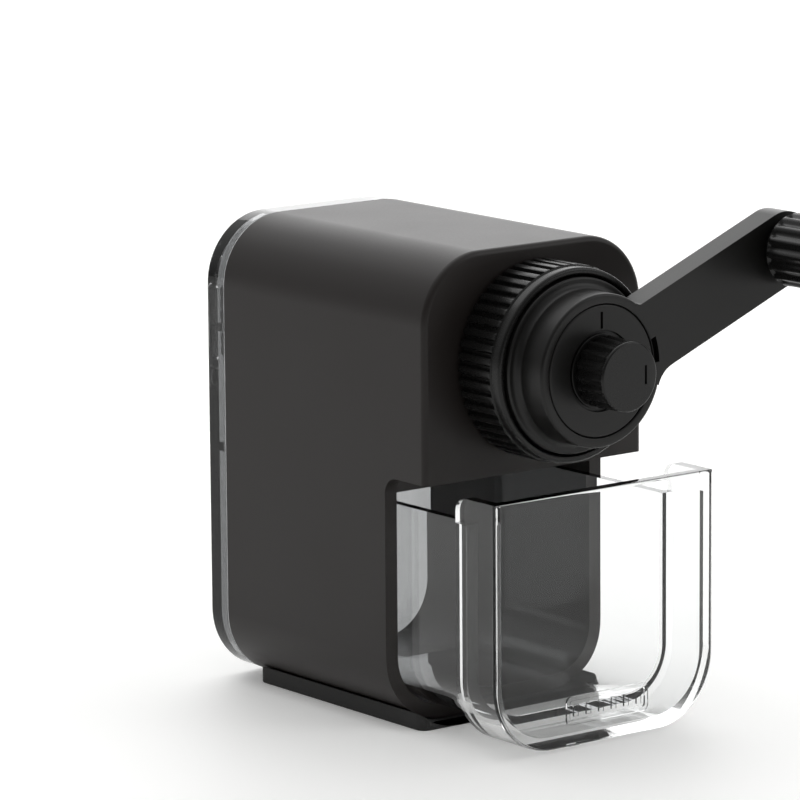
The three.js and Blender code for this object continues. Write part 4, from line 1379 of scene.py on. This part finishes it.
@dataclass
class Faceplate:
    """The smoked rear faceplate and the pencil grip on it."""

    finishes: Finishes
    axis_height: float
    corner: float = 12.0
    wall: float = 2.0
    rounding: float = 0.6
    grip_corner: float = 3.0
    grip_wall: float = 1.5
    port: float = 5.2
    lug_heights: tuple[float, float] = (41.5, 62.6)
    lug: float = 1.4
    rod_offset: float = 17.0
    rod_height: float = 53.0
    rod: float = 1.5
    slider_wall: float = 1.7
    slider_half: float = 5.4
    tab_depth: float = 3.5
    tab_grooves: int = 5
    tab_groove_pitch: float = 2.1
    jaw: float = 3.1
    reach: float = 7.2

    def build(self) -> None:
        """Build the plate, the grip's housing and both tabs."""
        self._plate()
        self._housing()
        for side in Side:
            self._tab(side)

    def _plate(self) -> None:
        """Build the smoked plate."""
        low, high = node_box("rear_faceplate")
        grip_low, grip_high = node_box("gripper_housing")
        tab_low, tab_high = node_box("pinch_tab_left")
        section = rounded_rectangle(low.x, high.x, low.z, high.z, self.corner)
        plate = Solid.prism(section, Axis.Y, low.y, high.y, 20)
        plate.softened(edges_at(high.y), self.rounding, 6)
        wall = self.wall
        inner = rounded_rectangle(
            low.x + wall, high.x - wall, low.z + wall, high.z - wall, self.corner - wall
        )
        plate.cut(Solid.prism(inner, Axis.Y, low.y - 2.0, high.y - self.wall, 20))
        lugs = [
            self._lug(side, height, low.y, high.y - self.wall + 0.4, high.x)
            for side in Side for height in self.lug_heights
        ]
        seat_rear = high.y - self.wall + 0.4
        seats = [
            Solid.turned(
                [
                    (self.rod + 0.02, low.y + 0.4, 0.0), (self.rod + 1.4, low.y + 0.4, 0.2),
                    (self.rod + 1.4, seat_rear, 0.0), (self.rod + 0.02, seat_rear, 0.0),
                ],
                (side.value * self.rod_offset, self.rod_height), 48,
            )
            for side in Side
        ]
        plate.joined(*lugs, *seats)
        margin = 0.15
        opening = Solid.prism(
            rounded_rectangle(
                grip_low.x - margin, grip_high.x + margin,
                grip_low.z - margin, grip_high.z + margin, self.grip_corner,
            ),
            Axis.Y, low.y - 1.0, high.y + 1.0, 8,
        )
        bay_half, bay_low, bay_high = -tab_low.x + 0.3, tab_low.z - 0.3, tab_high.z + 0.3
        bay = Solid.prism(
            rounded_rectangle(-bay_half, bay_half, bay_low, bay_high, 1.0),
            Axis.Y, low.y - 1.0, high.y + 1.0, 6,
        )
        plate.cut(opening, bay)
        plate.piece("smoked_faceplate", Body.FEEDER, self.finishes.smoked, ["rear_faceplate"], 0.25, 2)

    def _lug(self, side: Side, height: float, front: float, rear: float, edge: float) -> Solid:
        """Return one locating lug inside the plate's rim."""
        across = sorted((side.value * (edge - 4.1), side.value * (edge - 1.0)))
        half = self.lug / 2
        return Solid.block((across[0], front, height - half), (across[1], rear, height + half))

    def _housing(self) -> None:
        """Build the grip's housing."""
        low, high = node_box("gripper_housing")
        z = self.axis_height
        outline = rounded_rectangle(low.x, high.x, low.z, high.z, self.grip_corner)
        body = Solid.prism(outline, Axis.Y, low.y, high.y, 8)
        body.softened(edges_at(high.y), 0.6, 3)
        wall = self.grip_wall
        room = Solid.prism(
            rounded_rectangle(
                low.x + wall, high.x - wall, low.z + wall, high.z - wall, self.grip_corner - wall
            ),
            Axis.Y, low.y - 1.0, high.y - wall, 8,
        )
        port = Solid.turned(
            [
                (0.0, high.y - 4.0, 0.0), (self.port, high.y - 4.0, 0.0), (self.port, high.y - 0.9, 0.3),
                (self.port + 1.1, high.y + 0.1, 0.0), (0.0, high.y + 0.1, 0.0),
            ],
            (0.0, z), 96,
        )
        slot = Solid.block((-30.0, low.y + 1.2, z - 5.6), (30.0, high.y - wall, z + 5.6))
        body.cut(room, port, slot)
        body.piece("grip_housing", Body.FEEDER, self.finishes.trim, ["gripper_housing"], 0.2, 2)

    def _tab(self, side: Side) -> None:
        """Build one finger tab with its slider and jaw.

        Args:
            side: The side that the finger tab is on.
        """
        node = f"pinch_tab_{side.word}"
        low, high = node_box(node)
        z = self.axis_height
        outer = max(abs(low.x), abs(high.x))
        inner = min(abs(low.x), abs(high.x))
        root = outer - self.tab_depth
        plate = Solid.block(
            (-root - 1.0, low.y, z - self.slider_half),
            (inner, low.y + self.slider_wall, z + self.slider_half),
        )
        tab = Solid.prism(
            rounded_rectangle(-outer, -root, low.z, high.z, 1.2), Axis.Y, low.y, high.y, 6
        )
        grooves = [
            Solid.block(
                (-outer - 1.0, high.y - 0.35, low.z + 2.0 + step),
                (-root + 1.0, high.y + 1.0, low.z + 2.6 + step),
            )
            for step in (self.tab_groove_pitch * i for i in range(self.tab_grooves))
        ]
        window = Solid.prism(
            [
                (-self.reach, z - 4.0, 0.4), (self.jaw + 1.0, z - 4.0, 0.2), (self.jaw, z - 1.4, 0.2),
                (self.jaw + 0.8, z, 0.0), (self.jaw, z + 1.4, 0.2), (self.jaw + 1.0, z + 4.0, 0.2),
                (-self.reach, z + 4.0, 0.4),
            ],
            Axis.Y, low.y - 1.0, low.y + self.slider_wall + 1.0, 4,
        )
        tab.cut(*grooves)
        plate.joined(tab).cut(window)
        if side is Side.RIGHT:
            plate.mirrored()
        plate.piece(
            f"finger_tab_{side.word}", Body[f"TAB_{side.name}"], self.finishes.trim, [node], 0.15, 2
        )


# ---------------------------------------------------------------- carried-over nodes


@dataclass
class Mechanism:
    """The inner pieces, which keep their CAD shapes and get real finishes."""

    finishes: Finishes

    def dress(self) -> None:
        """Give every carried-over node its material."""
        groups = {
            "inner": ["gear_frame", "guide_plate", "bearing_sleeve", "cutter_carrier"],
            "nylon": ["ring_gear", "cutter_pinion"],
            "tool_steel": ["helical_cutter"],
            "trim": ["gripper_cover"],
            "steel": [
                "crank_screw_upper", "crank_screw_lower", "cutter_axle", "depth_stop", "handle_pin",
                *(f"{stem}_{side.word}" for side in Side for stem in (
                    "frame_screw", "guide_screw", "guide_rod", "rod_clip", "feed_spring", "tab_spring",
                )),
            ],
        }
        for slot, nodes in groups.items():
            dressing = getattr(self.finishes, slot)
            for node in nodes:
                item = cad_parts[node]
                item.data.materials.clear()
                item.data.materials.append(dressing.material)
                log.info("%s keeps its CAD shape, in %s", node, dressing.material.name)


def main() -> None:
    """Build the sharpener and its studio."""
    finishes = Finishes()
    ring_low, ring_high = node_box("lock_ring")
    axis_height = (ring_low.z + ring_high.z) / 2.0
    Shell(finishes).build(axis_height)
    Drawer(finishes).build()
    CrankHead(finishes, axis_height).build()
    Faceplate(finishes, axis_height).build()
    Mechanism(finishes).dress()
    Studio().build()


if __name__ == "__main__":
    main()
